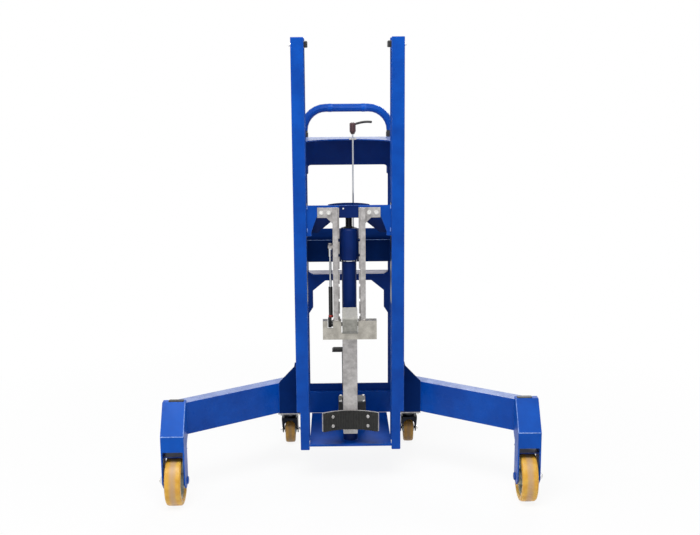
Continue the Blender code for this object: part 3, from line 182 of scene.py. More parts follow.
def finish(name, tones, patch_mm, gloss, grain_mm, grain_height_mm, metal=0.0, edge_wear_and_highlight=None,
           edge_wear_and_highlight_mm=1.2, edge_wear_and_highlight_share=0.5, coat=0.0, stretch=(1, 1, 1), dust_and_highlight=None, dust_and_highlight_share=0.55,
           ior=None, specular=None):
    """A procedural finish; gloss is the lowest and highest roughness."""
    material = bpy.data.materials.new(name)
    material.use_nodes = True
    tree = material.node_tree
    tree.nodes.clear()
    place = add(tree, "ShaderNodeTexCoord").outputs["Object"]
    colour = mottled(tree, place, tones, patch_mm)
    smears = add(tree, "ShaderNodeTexNoise", {"Vector": place, "Scale": 1000 / (patch_mm * SMEAR_SHARE),
                                              "Detail": 6.0, "Roughness": 0.7}).outputs[0]
    roughness = add(tree, "ShaderNodeMapRange", {0: smears, 1: SMEAR_RANGE[0], 2: SMEAR_RANGE[1],
                                                 3: gloss[0], 4: gloss[1]}).outputs[0]
    # Pale tone where the surface faces up: dust, and a painted highlight of the overhead light
    if dust_and_highlight:
        colour = add_dust_and_highlight(tree, colour, smears, dust_and_highlight, dust_and_highlight_share)
    # Pale chips on the edges: wear, and on the blue coats a painted edge highlight
    if edge_wear_and_highlight:
        colour = wear_and_highlight_edges(tree, place, colour, edge_wear_and_highlight, edge_wear_and_highlight_mm, edge_wear_and_highlight_share)
    along = add(tree, "ShaderNodeMapping", {"Vector": place, "Scale": stretch}).outputs[0]
    grain = add(tree, "ShaderNodeTexNoise", {"Vector": along, "Scale": 1000 / grain_mm, "Detail": 3.0})
    bump = add(tree, "ShaderNodeBump", {"Height": grain.outputs[0], "Strength": 1.0,
                                        "Distance": grain_height_mm * MM})
    shader = add(tree, "ShaderNodeBsdfPrincipled", {"Base Color": colour, "Roughness": roughness,
                                                    "Metallic": metal, "Normal": bump.outputs[0]})
    if coat:
        shader.inputs["Coat Weight"].default_value = coat
        shader.inputs["Coat Roughness"].default_value = COAT_ROUGHNESS
    if ior:
        shader.inputs["IOR"].default_value = ior
    if specular is not None:
        shader.inputs["Specular IOR Level"].default_value = specular
    add(tree, "ShaderNodeOutputMaterial", {"Surface": shader.outputs[0]})
    return material


print("smears are", SMEAR_SHARE, "of a patch wide")

# %% [markdown]
# The frame is mild steel in a glossy royal-blue powder coat. Powder flows out in the oven and
# leaves a slight orange peel of about three millimetres, which softens each reflection. The
# edges are knocked paler where they meet pallets and boots, and that pale edge tone is also a
# painted highlight. The deck and the legs' tops carry a film of dust, mixed in where the surface
# faces up, and the same pale tone is a painted highlight of the overhead light. The ram, the
# wings, the shelf, the rear frame, the carriage's rear plate, the lift yoke and the forks' webs
# stand in shade, and they get darker copies of the blue as painted shade, matt on the shelf, the
# yoke and the wings. The forks get a lighter copy as painted light on their lit slopes, and pale
# rods on folds and weld corners are painted highlights. The jaw's shaft is in black enamel.

# %% Painted and coated steel
# Deep and glossy, with softened reflections, and pale edges that are wear and a painted highlight
POWDER_BLUE = finish("powder_coat_royal_blue", ("#04409A", "#064EB0"), 160, (0.30, 0.42), 3.0, 0.010,
                     edge_wear_and_highlight="#8FB2EE", edge_wear_and_highlight_mm=1.8, edge_wear_and_highlight_share=0.8, specular=0.14)
# The same coat, pale wherever it faces up, with dust and a painted highlight of the overhead light
POWDER_BLUE_DUST_AND_HIGHLIGHT = finish("powder_coat_royal_blue_dust_and_painted_highlight", ("#04409A", "#064EB0"), 160, (0.22, 0.34), 3.0, 0.010,
                      edge_wear_and_highlight="#8FB2EE", edge_wear_and_highlight_mm=1.8, edge_wear_and_highlight_share=0.8, dust_and_highlight="#BCCAEC", dust_and_highlight_share=0.95,
                      specular=0.16)
# A darker copy of the frame's blue, painted shade for parts that stand in shadow, with a blue edge
POWDER_BLUE_SHADED = finish("powder_coat_blue_painted_shade", ("#031C54", "#052564"), 160, (0.34, 0.46), 3.0, 0.010,
                     edge_wear_and_highlight="#33549A", edge_wear_and_highlight_share=0.5, specular=0.12)
# Nearly black-blue and without a highlight, a matt copy of the blue as painted shade on the shelf, yoke and
# wings
POWDER_BLUE_SHADED_MATT = finish("powder_coat_blue_matt_painted_shade", ("#0A2254", "#0C2962"), 140, (0.62, 0.74), 2.2, 0.02,
                     edge_wear_and_highlight="#6E80AC", edge_wear_and_highlight_mm=1.8, edge_wear_and_highlight_share=0.7, specular=0.0)
# A shade below the frame's blue as painted shade on the rear frame, and paler on its ledges where they face
# up
POWDER_SHEET_SHADED = finish("powder_coat_on_folded_sheet_painted_shade", ("#04307E", "#06398C"), 160, (0.32, 0.44), 3.0, 0.010,
                      edge_wear_and_highlight="#5F84C8", edge_wear_and_highlight_mm=1.4, edge_wear_and_highlight_share=0.6, dust_and_highlight="#E4DEEA", dust_and_highlight_share=1.6,
                      specular=0.12)
# The brightest blue of the machine, a lighter copy of the frame's blue as painted light on the forks' lit
# slopes
POWDER_BRIGHT = finish("powder_coat_blue_painted_light_on_forks", ("#0549A8", "#0857BE"), 160, (0.30, 0.42), 3.0, 0.010,
                       edge_wear_and_highlight="#8FB2EE", edge_wear_and_highlight_mm=1.8, edge_wear_and_highlight_share=0.8, specular=0.14)
# Pale blue in patches as small as a thumbnail, a painted highlight on folds and weld corners
POWDER_PAINTED_HIGHLIGHT = finish("powder_coat_painted_highlight", ("#5F8ADA", "#A2BEF2"), 9, (0.30, 0.42), 1.5, 0.010,
                        specular=0.3)
# Smooth black with grey knocks and a faint wet shine
BLACK_ENAMEL = finish("black_enamel_on_steel", ("#0E0F11", "#1A1B1E"), 60, (0.34, 0.5), 1.6, 0.01,
                      edge_wear_and_highlight="#6A6A6C", edge_wear_and_highlight_share=0.5, coat=0.1)
print("orange peel is 3 mm wide and 0.01 mm deep")

# %% [markdown]
# The rails, lugs and gripper head are zinc plate over mild steel. Zinc plating keeps the
# steel's rolled grain, reads as a cool pale grey, and carries soft cloudy patches from the
# bath. It is brighter on bolts and duller on the jaw. The rollers are bare ground steel. The
# castors' forks are nitrided, which turns steel nearly black. The piston rod is chrome, and it
# gets the same near-black finish as a painted dark reflection of what it mirrors. The strut's
# rod is hard chrome, nearly a mirror. The wheel centres are rough grey iron.

# %% Bare and plated metals
# Pale grey with soft clouds, and grain that runs down the rails
ZINC_PLATE = finish("bright_zinc_plate", ("#9B9897", "#BDBAB9"), 22, (0.36, 0.54), 0.9, 0.008, metal=0.6,
                    edge_wear_and_highlight="#EAE8E0", edge_wear_and_highlight_share=0.6, stretch=(1, 1, 0.12))
# Warm grey, with fine lines from the grinding wheel
GROUND_STEEL = finish("ground_steel", ("#A09C94", "#BDB9B0"), 30, (0.24, 0.42), 0.8, 0.01, metal=1.0,
                      edge_wear_and_highlight="#D8D8D6", stretch=(0.15, 1, 1))
# Nearly white and shiny, so that small bolts stand out
BRIGHT_ZINC = finish("bright_zinc_on_bolts", ("#E0DFDC", "#F4F3F0"), 12, (0.20, 0.34), 0.6, 0.004,
                     metal=0.9)
# Blue-black with a sharp highlight; on the chrome piston rod it is a painted dark reflection
NITRIDED_AND_DARK_REFLECTION = finish("nitrided_steel_and_painted_dark_reflection", ("#14161D", "#20232C"), 60, (0.16, 0.26), 1.2, 0.002,
                        metal=0.9)
# Greyer and flatter, and paler where it faces up
ZINC_DULL = finish("dull_zinc_on_jaw", ("#7E7D77", "#94938C"), 16, (0.34, 0.5), 1.0, 0.02, metal=0.15,
                   edge_wear_and_highlight="#C9C8C2", edge_wear_and_highlight_share=0.4, dust_and_highlight="#DAD8D0", dust_and_highlight_share=1.6)
# A mirror that is hardly blurred
HARD_CHROME = finish("hard_chrome", ("#C9CCD0", "#DADCDF"), 80, (0.07, 0.13), 2.0, 0.001, metal=1.0)
# Rough, light and uneven, as it left the sand
GREY_IRON = finish("cast_grey_iron", ("#A2A69D", "#BEC1B8"), 18, (0.45, 0.62), 1.1, 0.05, metal=0.25,
                   edge_wear_and_highlight="#D4D6D0")
print("zinc clouds are 22 mm wide")

# %% [markdown]
# The tyres are cast polyurethane, an amber plastic that lets a little light in, so it gets a
# weak subsurface glow. The band that rolls on the floor is scuffed to a pale tan, and the
# castors' tyres are darker and browner. The band could be a second material, but then its edge
# would be a clean line. A value stored on the mesh, made ragged by noise, fades it in instead.
# The caps are moulded nylon with a fine spark-eroded grain, the lever is brown phenolic, and
# the pad is nitrile rubber.

# %% Plastics and rubber
# Soft black with a dull sheen
NYLON = finish("moulded_black_nylon", ("#161517", "#201E20"), 40, (0.42, 0.56), 0.7, 0.02,
               edge_wear_and_highlight="#4A484A", ior=1.53)
# Dead black, with no highlight to speak of
RUBBER = finish("nitrile_rubber", ("#141414", "#222220"), 25, (0.62, 0.82), 1.2, 0.03, ior=1.52)
# Reddish brown, smooth and a little waxy
PHENOLIC = finish("phenolic_lever_brown", ("#3C2226", "#4E2D31"), 30, (0.34, 0.48), 0.8, 0.015,
                 edge_wear_and_highlight="#7A5A58", ior=1.6)
# Bright red, the one warm spot on the gripper
RED_PLASTIC = finish("red_abs_cap", ("#8E1B14", "#A6241A"), 20, (0.3, 0.42), 0.8, 0.01, ior=1.54)
SCUFF_MM = 9
RAGGED = (0.9, -0.45)


def polyurethane(name, tones, scuff_tones):
    """Amber tyre whose running band, marked by its tread value, is scuffed pale."""
    material = finish(name, tones, 35, (0.34, 0.5), 1.4, 0.02, ior=1.5)
    tree = material.node_tree
    shader = next(n for n in tree.nodes if n.type == "BSDF_PRINCIPLED")
    body_colour = shader.inputs["Base Color"].links[0].from_socket
    near_edge = add(tree, "ShaderNodeAttribute", attribute_name="tread").outputs["Fac"]
    place = add(tree, "ShaderNodeTexCoord").outputs["Object"]
    scuffs = add(tree, "ShaderNodeTexNoise", {"Vector": place, "Scale": 1000 / SCUFF_MM, "Detail": 6.0,
                                              "Roughness": 0.75})
    ragged = add(tree, "ShaderNodeMath", {0: scuffs.outputs[0], 1: RAGGED[0], 2: RAGGED[1]},
                 operation="MULTIPLY_ADD")
    edge = add(tree, "ShaderNodeMath", {0: near_edge, 1: ragged.outputs[0]}, operation="ADD")
    scuffed = add(tree, "ShaderNodeMapRange", {0: edge.outputs[0], 1: 0.0, 2: 1.0})
    tread = add(tree, "ShaderNodeMix", {0: scuffs.outputs[0], COLOUR_A: linear(scuff_tones[0]),
                                        COLOUR_B: linear(scuff_tones[1])}, data_type="RGBA")
    colour = add(tree, "ShaderNodeMix", {0: scuffed.outputs[0], COLOUR_A: body_colour,
                                         COLOUR_B: tread.outputs[COLOUR_OUT]}, data_type="RGBA")
    tree.links.new(colour.outputs[COLOUR_OUT], shader.inputs["Base Color"])
    shader.inputs["Subsurface Weight"].default_value = 0.12
    shader.inputs["Subsurface Radius"].default_value = (0.006, 0.003, 0.001)
    shader.inputs["Subsurface Scale"].default_value = 1.0
    return material


TYRE_AMBER = polyurethane("cast_polyurethane_amber", ("#DA9F2C", "#EBBB4C"), ("#BC9468", "#D4B086"))
TYRE_DARKER = polyurethane("cast_polyurethane_darker", ("#A87A30", "#C4953E"), ("#8E6C3E", "#A88452"))
print("made", len(bpy.data.materials), "materials")

# %% [markdown]
# The photograph was taken from about four metres in front of the machine and just under the
# mast's top, looking slightly down. Its focal length is 1000 pixels on a picture 700 wide. The
# camera is rolled by less than half a degree, which the upright posts give away.

# %% Camera
PICTURE = (700, 535)
FOCAL_PIXELS = 1000
SENSOR_MM = 36
EYE = Vector((-0.045, -4.13, 1.67))
PITCH_DOWN = radians(10.7)
ROLL = radians(0.43)
TURN = radians(-0.69)

lens = bpy.data.cameras.new("photo_camera")
lens.sensor_width = SENSOR_MM
lens.lens = FOCAL_PIXELS / PICTURE[0] * SENSOR_MM
lens.clip_end = 60
camera = bpy.data.objects.new("photo_camera", lens)
bpy.context.scene.collection.objects.link(camera)
bpy.context.scene.camera = camera
camera.matrix_world = (Matrix.Translation(EYE) @ Matrix.Rotation(TURN, 4, "Z")
                       @ Matrix.Rotation(pi / 2 - PITCH_DOWN, 4, "X") @ Matrix.Rotation(-ROLL, 4, "Z"))
print("lens", round(lens.lens, 2), "mm, eye", [round(v, 2) for v in EYE])

# %% [markdown]
# A product photograph stands on white. A floor that is lit until it looks white would also
# light the machine from below, so this one shows white only to the camera and in reflections,
# and is pale matt paint to every other ray. It is a little darker near the machine, so the
# shadow still shows there.

# %% Floor
FLOOR_HALF = 9.0
FLOOR_SHOWN_WHITE = (0.90, 1.0)
FADE = (0.9, 2.4)


def white_where_seen(tree):
    """One where the camera, a mirror or a clear piece sees the surface."""
    path = add(tree, "ShaderNodeLightPath")
    mirror = add(tree, "ShaderNodeMath", {0: path.outputs["Is Camera Ray"],
                                          1: path.outputs["Is Glossy Ray"]}, operation="MAXIMUM")
    return add(tree, "ShaderNodeMath", {0: mirror.outputs[0],
                                        1: path.outputs["Is Transmission Ray"]},
               operation="MAXIMUM").outputs[0]


floor_material = bpy.data.materials.new("studio_floor")
floor_material.use_nodes = True
tree = floor_material.node_tree
tree.nodes.clear()
seen = white_where_seen(tree)
place = add(tree, "ShaderNodeTexCoord").outputs["Object"]
away = add(tree, "ShaderNodeVectorMath", {0: place}, operation="LENGTH").outputs["Value"]
shown = add(tree, "ShaderNodeMapRange", {0: away, 1: FADE[0], 2: FADE[1], 3: FLOOR_SHOWN_WHITE[0],
                                         4: FLOOR_SHOWN_WHITE[1]}).outputs[0]
share = add(tree, "ShaderNodeMath", {0: seen, 1: shown}, operation="MULTIPLY")
matt = add(tree, "ShaderNodeBsdfDiffuse", {"Color": linear("#F4F4F4")})
glow = add(tree, "ShaderNodeEmission", {"Color": (1, 1, 1, 1), "Strength": 1.0})
both = add(tree, "ShaderNodeMixShader", {0: share.outputs[0], 1: matt.outputs[0], 2: glow.outputs[0]})
add(tree, "ShaderNodeOutputMaterial", {"Surface": both.outputs[0]})

floor_mesh = bpy.data.meshes.new("studio_floor")
corners = [(-FLOOR_HALF, -FLOOR_HALF, 0), (FLOOR_HALF, -FLOOR_HALF, 0),
           (FLOOR_HALF, FLOOR_HALF, 0), (-FLOOR_HALF, FLOOR_HALF, 0)]
floor_mesh.from_pydata(corners, [], [(0, 1, 2, 3)])
floor_mesh.materials.append(floor_material)
floor = bpy.data.objects.new("studio_floor", floor_mesh)
bpy.context.scene.collection.objects.link(floor)
print("the floor is", 2 * FLOOR_HALF, "m wide")

# %% [markdown]
# The sky works in the same way. It is white where it is seen or mirrored, and a softer grey
# where it lights the machine, since a white sky all round would wash out the blue.

# %% Sky
SKY_LIGHT = 0.32

sky = bpy.data.worlds.new("studio_sky")
bpy.context.scene.world = sky
sky.use_nodes = True
sky.node_tree.nodes.clear()
seen = white_where_seen(sky.node_tree)
strength = add(sky.node_tree, "ShaderNodeMapRange", {0: seen, 3: SKY_LIGHT, 4: 1.0})
lit = add(sky.node_tree, "ShaderNodeBackground", {"Color": (1, 1, 1, 1),
                                                  "Strength": strength.outputs[0]})
add(sky.node_tree, "ShaderNodeOutputWorld", {"Surface": lit.outputs[0]})
print("the sky lights the machine at", SKY_LIGHT)

# %% [markdown]
# Three large lamps do most of the lighting, the main one overhead and a little in front, as in
# a workshop with a bright ceiling. A sun lamp would be simpler, but its shadows are hard, and
# these fall off softly, as the photograph's do.

# %% Lamps
LAMPS = (
    ("ceiling_lamp", (-0.4, -2.4, 4.4), (0.0, 0.0, 0.6), 3.0, 2.0, 165),
    ("left_lamp", (-4.0, -1.6, 2.2), (0.0, 0.0, 0.9), 1.6, 1.6, 18),
    ("back_lamp", (1.5, 3.6, 3.2), (0.0, 0.0, 0.9), 2.0, 1.6, 60),
)
for name, place, target, width, height, watts in LAMPS:
    light = bpy.data.lights.new(name, "AREA")
    light.shape = "RECTANGLE"
    light.size = width
    light.size_y = height
    light.energy = watts
    lamp = bpy.data.objects.new(name, light)
    bpy.context.scene.collection.objects.link(lamp)
    aim = Vector(target) - Vector(place)
    lamp.location = place
    lamp.rotation_euler = aim.to_track_quat("-Z", "Y").to_euler()
bpy.context.scene.view_settings.view_transform = "Standard"
print(len(LAMPS), "lamps,", sum(row[-1] for row in LAMPS), "watts in all")

# %% [markdown]
# Shapes are plain lists of corners and faces until they are placed. The first helper is a
# lathe. Blender's own cylinders could make some of these, but a turned piece is easiest to read
# as its profile, and one helper then makes every washer, tyre and dome. A profile point on the
# axis becomes one corner, not a ring of them.

# %% Turned shapes
AXIS_NEAR = 1e-6


def lathe(profile, steps=48, ring=False):
    """Turns (radius, height) points about Z. A ring's profile joins up with itself."""
    corners, rows, faces = [], [], []
    for radius, height in profile:
        if radius < AXIS_NEAR:
            rows.append([len(corners)] * steps)
            corners.append(Vector((0, 0, height)))
            continue
        rows.append(list(range(len(corners), len(corners) + steps)))
        corners += [Vector((radius * cos(2 * pi * i / steps), radius * sin(2 * pi * i / steps), height))
                    for i in range(steps)]
    pairs = list(zip(rows, rows[1:] + rows[:1] if ring else rows[1:]))
    for low, high in pairs:
        for i in range(steps):
            j = (i + 1) % steps
            face = [low[i], low[j], high[j], high[i]]
            face = [v for k, v in enumerate(face) if v not in face[:k]]
            if len(face) > 2:
                faces.append(face)
    return corners, faces


print("a plain disc from the lathe has", len(lathe([(0, 0), (10 * MM, 0)])[1]), "faces")

# %% [markdown]
# A weld, a folded edge or a lever's sleeve is a round bar along a path. A curve object with a
# bevel could draw one, but here the radius changes from point to point and the ends are closed.
# Each ring is carried on from the one before, so the bar doesn't twist.

# %% Bars along a path


def swept(path, radius, sides=12):
    """A closed round bar along a path; radius is one size or a size for each point."""
    path = [Vector(p) for p in path]
    sizes = radius if isinstance(radius, (list, tuple)) else [radius] * len(path)
    corners, faces = [], []
    direction = (path[1] - path[0]).normalized()
    across = direction.orthogonal().normalized()
    for i, point in enumerate(path):
        ahead = path[min(i + 1, len(path) - 1)] - path[max(i - 1, 0)]
        heading = ahead.normalized()
        across = (across - heading * across.dot(heading)).normalized()
        up = heading.cross(across)
        for k in range(sides):
            turn = 2 * pi * k / sides
            corners.append(point + (across * cos(turn) + up * sin(turn)) * sizes[i])
    for i in range(len(path) - 1):
        for k in range(sides):
            a, b = i * sides + k, i * sides + (k + 1) % sides
            faces.append([a, b, b + sides, a + sides])
    faces.append(list(range(sides))[::-1])
    faces.append(list(range((len(path) - 1) * sides, len(path) * sides)))
    return corners, faces


print("a straight bar has", len(swept([(0, 0, 0), (0, 0, 1)], 5 * MM)[1]), "faces")

# %% [markdown]
# Plates, nuts and caps are flat outlines with a thickness. A bevel modifier could round their
# rims, but drawing the upper rim in a little is enough to catch the light, and it costs one row
# of faces.

# %% Plates and their outlines


def slab(outline, thick, edge=0.0):
    """A flat outline raised along Z, its upper rim drawn in by the edge."""
    centre = sum((Vector(p) for p in outline), Vector((0, 0))) / len(outline)
    rows = [(0.0, 0.0), (thick - edge, 0.0), (thick, edge)] if edge else [(0.0, 0.0), (thick, 0.0)]
    corners, faces, count = [], [], len(outline)
    for height, inset in rows:
        for point in outline:
            arm = Vector(point) - centre
            arm *= max(0.0, 1 - inset / max(arm.length, AXIS_NEAR))
            corners.append(Vector((centre.x + arm.x, centre.y + arm.y, height)))
    for row in range(len(rows) - 1):
        for i in range(count):
            a, b = row * count + i, row * count + (i + 1) % count
            faces.append([a, b, b + count, a + count])
    faces.append(list(range(count))[::-1])
    faces.append(list(range((len(rows) - 1) * count, len(rows) * count)))
    return corners, faces


def polygon(sides, across):
    """A regular outline, given its width across flats."""
    radius = across / 2 / cos(pi / sides)
    return [(radius * cos(2 * pi * i / sides), radius * sin(2 * pi * i / sides)) for i in range(sides)]


def oblong(width, depth, corner=0.002, steps=4):
    """A rectangle with rounded corners."""
    points = []
    for number, (sx, sy) in enumerate(((1, 1), (-1, 1), (-1, -1), (1, -1))):
        for i in range(steps + 1):
            turn = pi / 2 * (number + i / steps)
            points.append((sx * (width / 2 - corner) + corner * cos(turn),
                           sy * (depth / 2 - corner) + corner * sin(turn)))
    return points


print("an oblong with round corners has", len(oblong(20 * MM, 10 * MM)), "points")

# %% [markdown]
# Two helpers set shapes in place. One turns a shape's Z to an axis and moves it to its point.
# The other joins shapes into one object, keeps its creases sharp, and seats it on the body that
# it moves with, so a bolt on the carriage rides up with the carriage.

# %% Placing and joining


def posed(shape, at, axis=(0, 0, 1), spin=0.0):
    """The shape with its Z along the axis and its origin at that point."""
    corners, faces = shape
    turn = Vector((0, 0, 1)).rotation_difference(Vector(axis).normalized()).to_matrix().to_4x4()
    move = Matrix.Translation(at) @ turn @ Matrix.Rotation(spin, 4, "Z")
    return [move @ c for c in corners], faces


def piece(name, shapes, material, body, crease=32, replaced=()):
    """Joins shapes in one object, keeps edges sharper than the crease, and seats it on a body."""
    mesh = bpy.data.meshes.new(name)
    bm = bmesh.new()
    for corners, faces in shapes:
        made = [bm.verts.new(c) for c in corners]
        for face in faces:
            bm.faces.new([made[i] for i in face])
    bmesh.ops.recalc_face_normals(bm, faces=bm.faces)
    for face in bm.faces:
        face.smooth = True
    for edge in bm.edges:
        edge.smooth = len(edge.link_faces) == 2 and edge.calc_face_angle() < radians(crease)
    bm.to_mesh(mesh)
    bm.free()
    mesh.materials.append(material)
    thing = bpy.data.objects.new(name, mesh)
    bpy.context.scene.collection.objects.link(thing)
    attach(thing, body)
    if replaced:
        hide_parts(*replaced)
    return thing


upright = ([Vector((0, 0, 1))], [])
print("laid along X, an upright point is at", round(posed(upright, (0, 0, 0), (1, 0, 0))[0][0].x, 3))

# %% [markdown]
# Hex bolts come back all over the machine. Each head has a flat washer under it, and its corners
# are turned off at the top. Real bolts stop at any angle, so each head is turned by an amount
# worked out from its place, which stays the same in every run.

# %% Bolts
WASHER_SHARE = 1.3664
HEAD_SHARE = 0.62
CROWN_SHARE = 0.07


def bolt(at, axis, across=13 * MM, washer=1.6 * MM):
    """A hex head on its washer."""
    axis = Vector(axis).normalized()
    base = Vector(at)
    rim = across * WASHER_SHARE / 2
    disc = lathe([(0, 0), (rim, 0), (rim, washer), (0, washer)], 24)
    head = slab(polygon(6, across), across * HEAD_SHARE, across * CROWN_SHARE)
    stopped = (base.x * 37 + base.z * 53) % 1.0
    return [posed(disc, base, axis), posed(head, base + axis * washer, axis, stopped)]


print("an M8 head is", round(13 * HEAD_SHARE, 1), "mm tall")

# %% [markdown]
# A weld bead is a low round ridge with ripples a few millimetres apart, one for each pause of
# the torch. A bump map could fake the ripples, but a bead stands proud of its corner and breaks
# the outline, so it is modelled. It thins out at both ends, where the torch starts and stops.

# %% Weld beads
RIPPLE = 4.5 * MM
RING_STEPS = 72
BEAD_SIDES = 8


def bead(start, end, width=5 * MM):
    """A rippled weld bead along a straight seam."""
    start, end = Vector(start), Vector(end)
    length = (end - start).length
    count = max(6, int(length / RIPPLE * 3))
    path, sizes = [], []
    for i in range(count + 1):
        share = i / count
        wobble = 0.06 * sin(share * 23.0 + start.x * 91 + start.z * 57)
        ripple = 0.13 * abs(sin(pi * share * length / RIPPLE))
        taper = min(1.0, 0.45 + 8 * min(share, 1 - share))
        path.append(start.lerp(end, share))
        sizes.append(width / 2 * (0.92 + wobble + ripple) * taper)
    return swept(path, sizes, BEAD_SIDES)


def ring_bead(centre, radius, width=5 * MM):
    """A rippled weld bead round an upright tube."""
    corners, faces = [], []
    for i in range(RING_STEPS):
        turn = 2 * pi * i / RING_STEPS
        size = width / 2 * (0.95 + 0.12 * abs(sin(i * 1.35)))
        out = Vector((cos(turn), sin(turn), 0))
        for k in range(BEAD_SIDES):
            roll = 2 * pi * k / BEAD_SIDES
            corners.append(out * (radius + size * cos(roll)) + Vector((0, 0, size * sin(roll))))
    for i in range(RING_STEPS):
        for k in range(BEAD_SIDES):
            a, b = i * BEAD_SIDES + k, i * BEAD_SIDES + (k + 1) % BEAD_SIDES
            c = ((i + 1) % RING_STEPS) * BEAD_SIDES
            faces.append([a, b, c + (k + 1) % BEAD_SIDES, c + k])
    return posed((corners, faces), centre)


print("a ripple every", round(RIPPLE / MM, 1), "mm")

# %% [markdown]
# The solids have knife edges where real sheet and castings have a small radius. Their meshes
# stay as they were packed, and modifiers do the rounding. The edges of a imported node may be
# split, so a weld closes them first, a bevel rounds them, and weighted normals keep the flats
# flat. Each node also gets its finish here, by its own name or by its material slot.

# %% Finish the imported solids
FINISH_OF_SLOT = {"blue_paint": POWDER_BLUE, "zinc": ZINC_PLATE, "steel": GROUND_STEEL,
                  "chrome": HARD_CHROME, "black_steel": BLACK_ENAMEL, "black_plastic": NYLON,
                  "polyurethane": TYRE_AMBER, "cast_iron": GREY_IRON, "rubber": RUBBER}
# The darker coats below are painted shade on parts in shadow, the rod's near-black is a painted dark
# reflection, and the forks' lighter coat is painted light.
FINISH_OF_NODE = {"ram_cylinder": POWDER_BLUE_SHADED, "ram_gland": POWDER_BLUE_SHADED, "rear_frame": POWDER_SHEET_SHADED,
                  "base_side_left": POWDER_BLUE_SHADED_MATT, "base_side_right": POWDER_BLUE_SHADED_MATT,
                  "mid_shelf": POWDER_BLUE_SHADED_MATT, "lift_yoke": POWDER_BLUE_SHADED_MATT, "carriage_rear_plate": POWDER_BLUE_SHADED,
                  "piston_rod": NITRIDED_AND_DARK_REFLECTION, "jaw_shaft": BLACK_ENAMEL, "leg_left": POWDER_BLUE_DUST_AND_HIGHLIGHT,
                  "leg_right": POWDER_BLUE_DUST_AND_HIGHLIGHT, "console_deck": POWDER_BLUE_DUST_AND_HIGHLIGHT,
                  "castor_fork_left": NITRIDED_AND_DARK_REFLECTION, "castor_fork_right": NITRIDED_AND_DARK_REFLECTION,
                  "release_lever": PHENOLIC, "beak_jaw": ZINC_DULL,
                  "wheel_fork_left": POWDER_BRIGHT, "wheel_fork_right": POWDER_BRIGHT}
ROUNDING = {"gripper_rail_left": 0.5 * MM, "gripper_rail_right": 0.5 * MM, "beak_jaw": 0.7 * MM,
            "base_beam": 3.0 * MM, "leg_left": 3.0 * MM, "leg_right": 3.0 * MM,
            "mast_post_left": 2.6 * MM, "mast_post_right": 2.6 * MM,
            "wheel_fork_left": 2.4 * MM, "wheel_fork_right": 2.4 * MM}
DEFAULT_ROUNDING = 1.0 * MM

for row in frame["record"]["subparts"]:
    node = nodes[row["node"]]
    node.data.materials.clear()
    node.data.materials.append(FINISH_OF_NODE.get(row["node"], FINISH_OF_SLOT[row["material_slot"]]))
    weld = node.modifiers.new("close_splits", "WELD")
    weld.merge_threshold = 0.01 * MM
    soften = node.modifiers.new("soften_edges", "BEVEL")
    soften.width = ROUNDING.get(row["node"], DEFAULT_ROUNDING)
    soften.segments = 2
    soften.limit_method = "ANGLE"
    soften.angle_limit = radians(33)
    soften.use_clamp_overlap = True
    flats = node.modifiers.new("keep_flats", "WEIGHTED_NORMAL")
    flats.keep_sharp = True
print("finished", len(nodes), "solids")

# %% [markdown]
# Each wheel carries a cast polyurethane tyre. Its tread is nearly flat between round shoulders,
# and only the band that rolls on the floor is scuffed. A bevel on the plain solid would round
# the shoulders but leave the tread dead flat, so the lathe turns the whole section. Each corner
# keeps a number called tread, one on the running band, which the tyre's finish reads.

# %% Tyres
FRONT_WHEEL = (0.701, -0.356, 0.100)
CASTOR_WHEEL = (0.274, 0.334, 0.0625)
FRONT_TYRE = (64 * MM, 20 * MM, 9 * MM)
CASTOR_TYRE = (44 * MM, 14 * MM, 7 * MM)
TREAD_CROWN = 0.8 * MM
TYRE_LIP = 1.5 * MM
BAND_SHARE = 0.34


def tyre(name, centre, width, thick, shoulder, body, node, look):
    """A turned tyre with its worn band marked, in place of the plain solid."""
    radius, half = centre[2], width / 2
    side = [(radius - thick, TYRE_LIP - half), (radius - thick + TYRE_LIP, -half)]
    for i in range(7):
        turn = pi / 12 * i
        side.append((radius - TREAD_CROWN - shoulder * (1 - sin(turn)),
                     shoulder * (1 - cos(turn)) - half))
    side += [(radius - TREAD_CROWN * 0.5, half * -0.5), (radius - TREAD_CROWN * 0.2, half * -0.28)]
    profile = side + [(radius, 0)] + [(r, -along) for r, along in reversed(side)]
    thing = piece(name, [posed(lathe(profile, 72, ring=True), centre, (1, 0, 0))], look, body,
                  crease=50, replaced=(node,))
    values = thing.data.attributes.new("tread", "FLOAT", "POINT")
    for corner, mark in zip(thing.data.vertices, values.data):
        offset = corner.co - Vector(centre)
        mark.value = min(1.0, max(0.0, 1.5 - abs(offset.x) / (half * BAND_SHARE)))
        if offset.yz.length < radius - 2 * TREAD_CROWN:
            mark.value = 0.0


for side, sign in SIDES:
    x, y, radius = FRONT_WHEEL
    tyre("tyre_cast_" + side, (sign * x, y, radius), *FRONT_TYRE, "front_wheel_" + side,
         "front_tyre_" + side, TYRE_AMBER)
    x, y, radius = CASTOR_WHEEL
    tyre("castor_tyre_cast_" + side, (sign * x, y, radius), *CASTOR_TYRE, "castor_wheel_" + side,
         "castor_tyre_" + side, TYRE_DARKER)
print("front tyres are", round(2 * FRONT_WHEEL[2] / MM), "mm across, castor tyres",
      round(2 * CASTOR_WHEEL[2] / MM), "mm")

# %% [markdown]
# The wheel centres are cast iron with five ribs on each face, and a sealed ball bearing sits in
# each hub. One rib is cut from plate and turned five times about the axle, so all five match.
# The seal is a black ring with the bearing's ground inner race inside it. Short spacers keep
# the hub off the fork's cheeks, and they ride on the frame, so they stay still while the wheel
# turns.

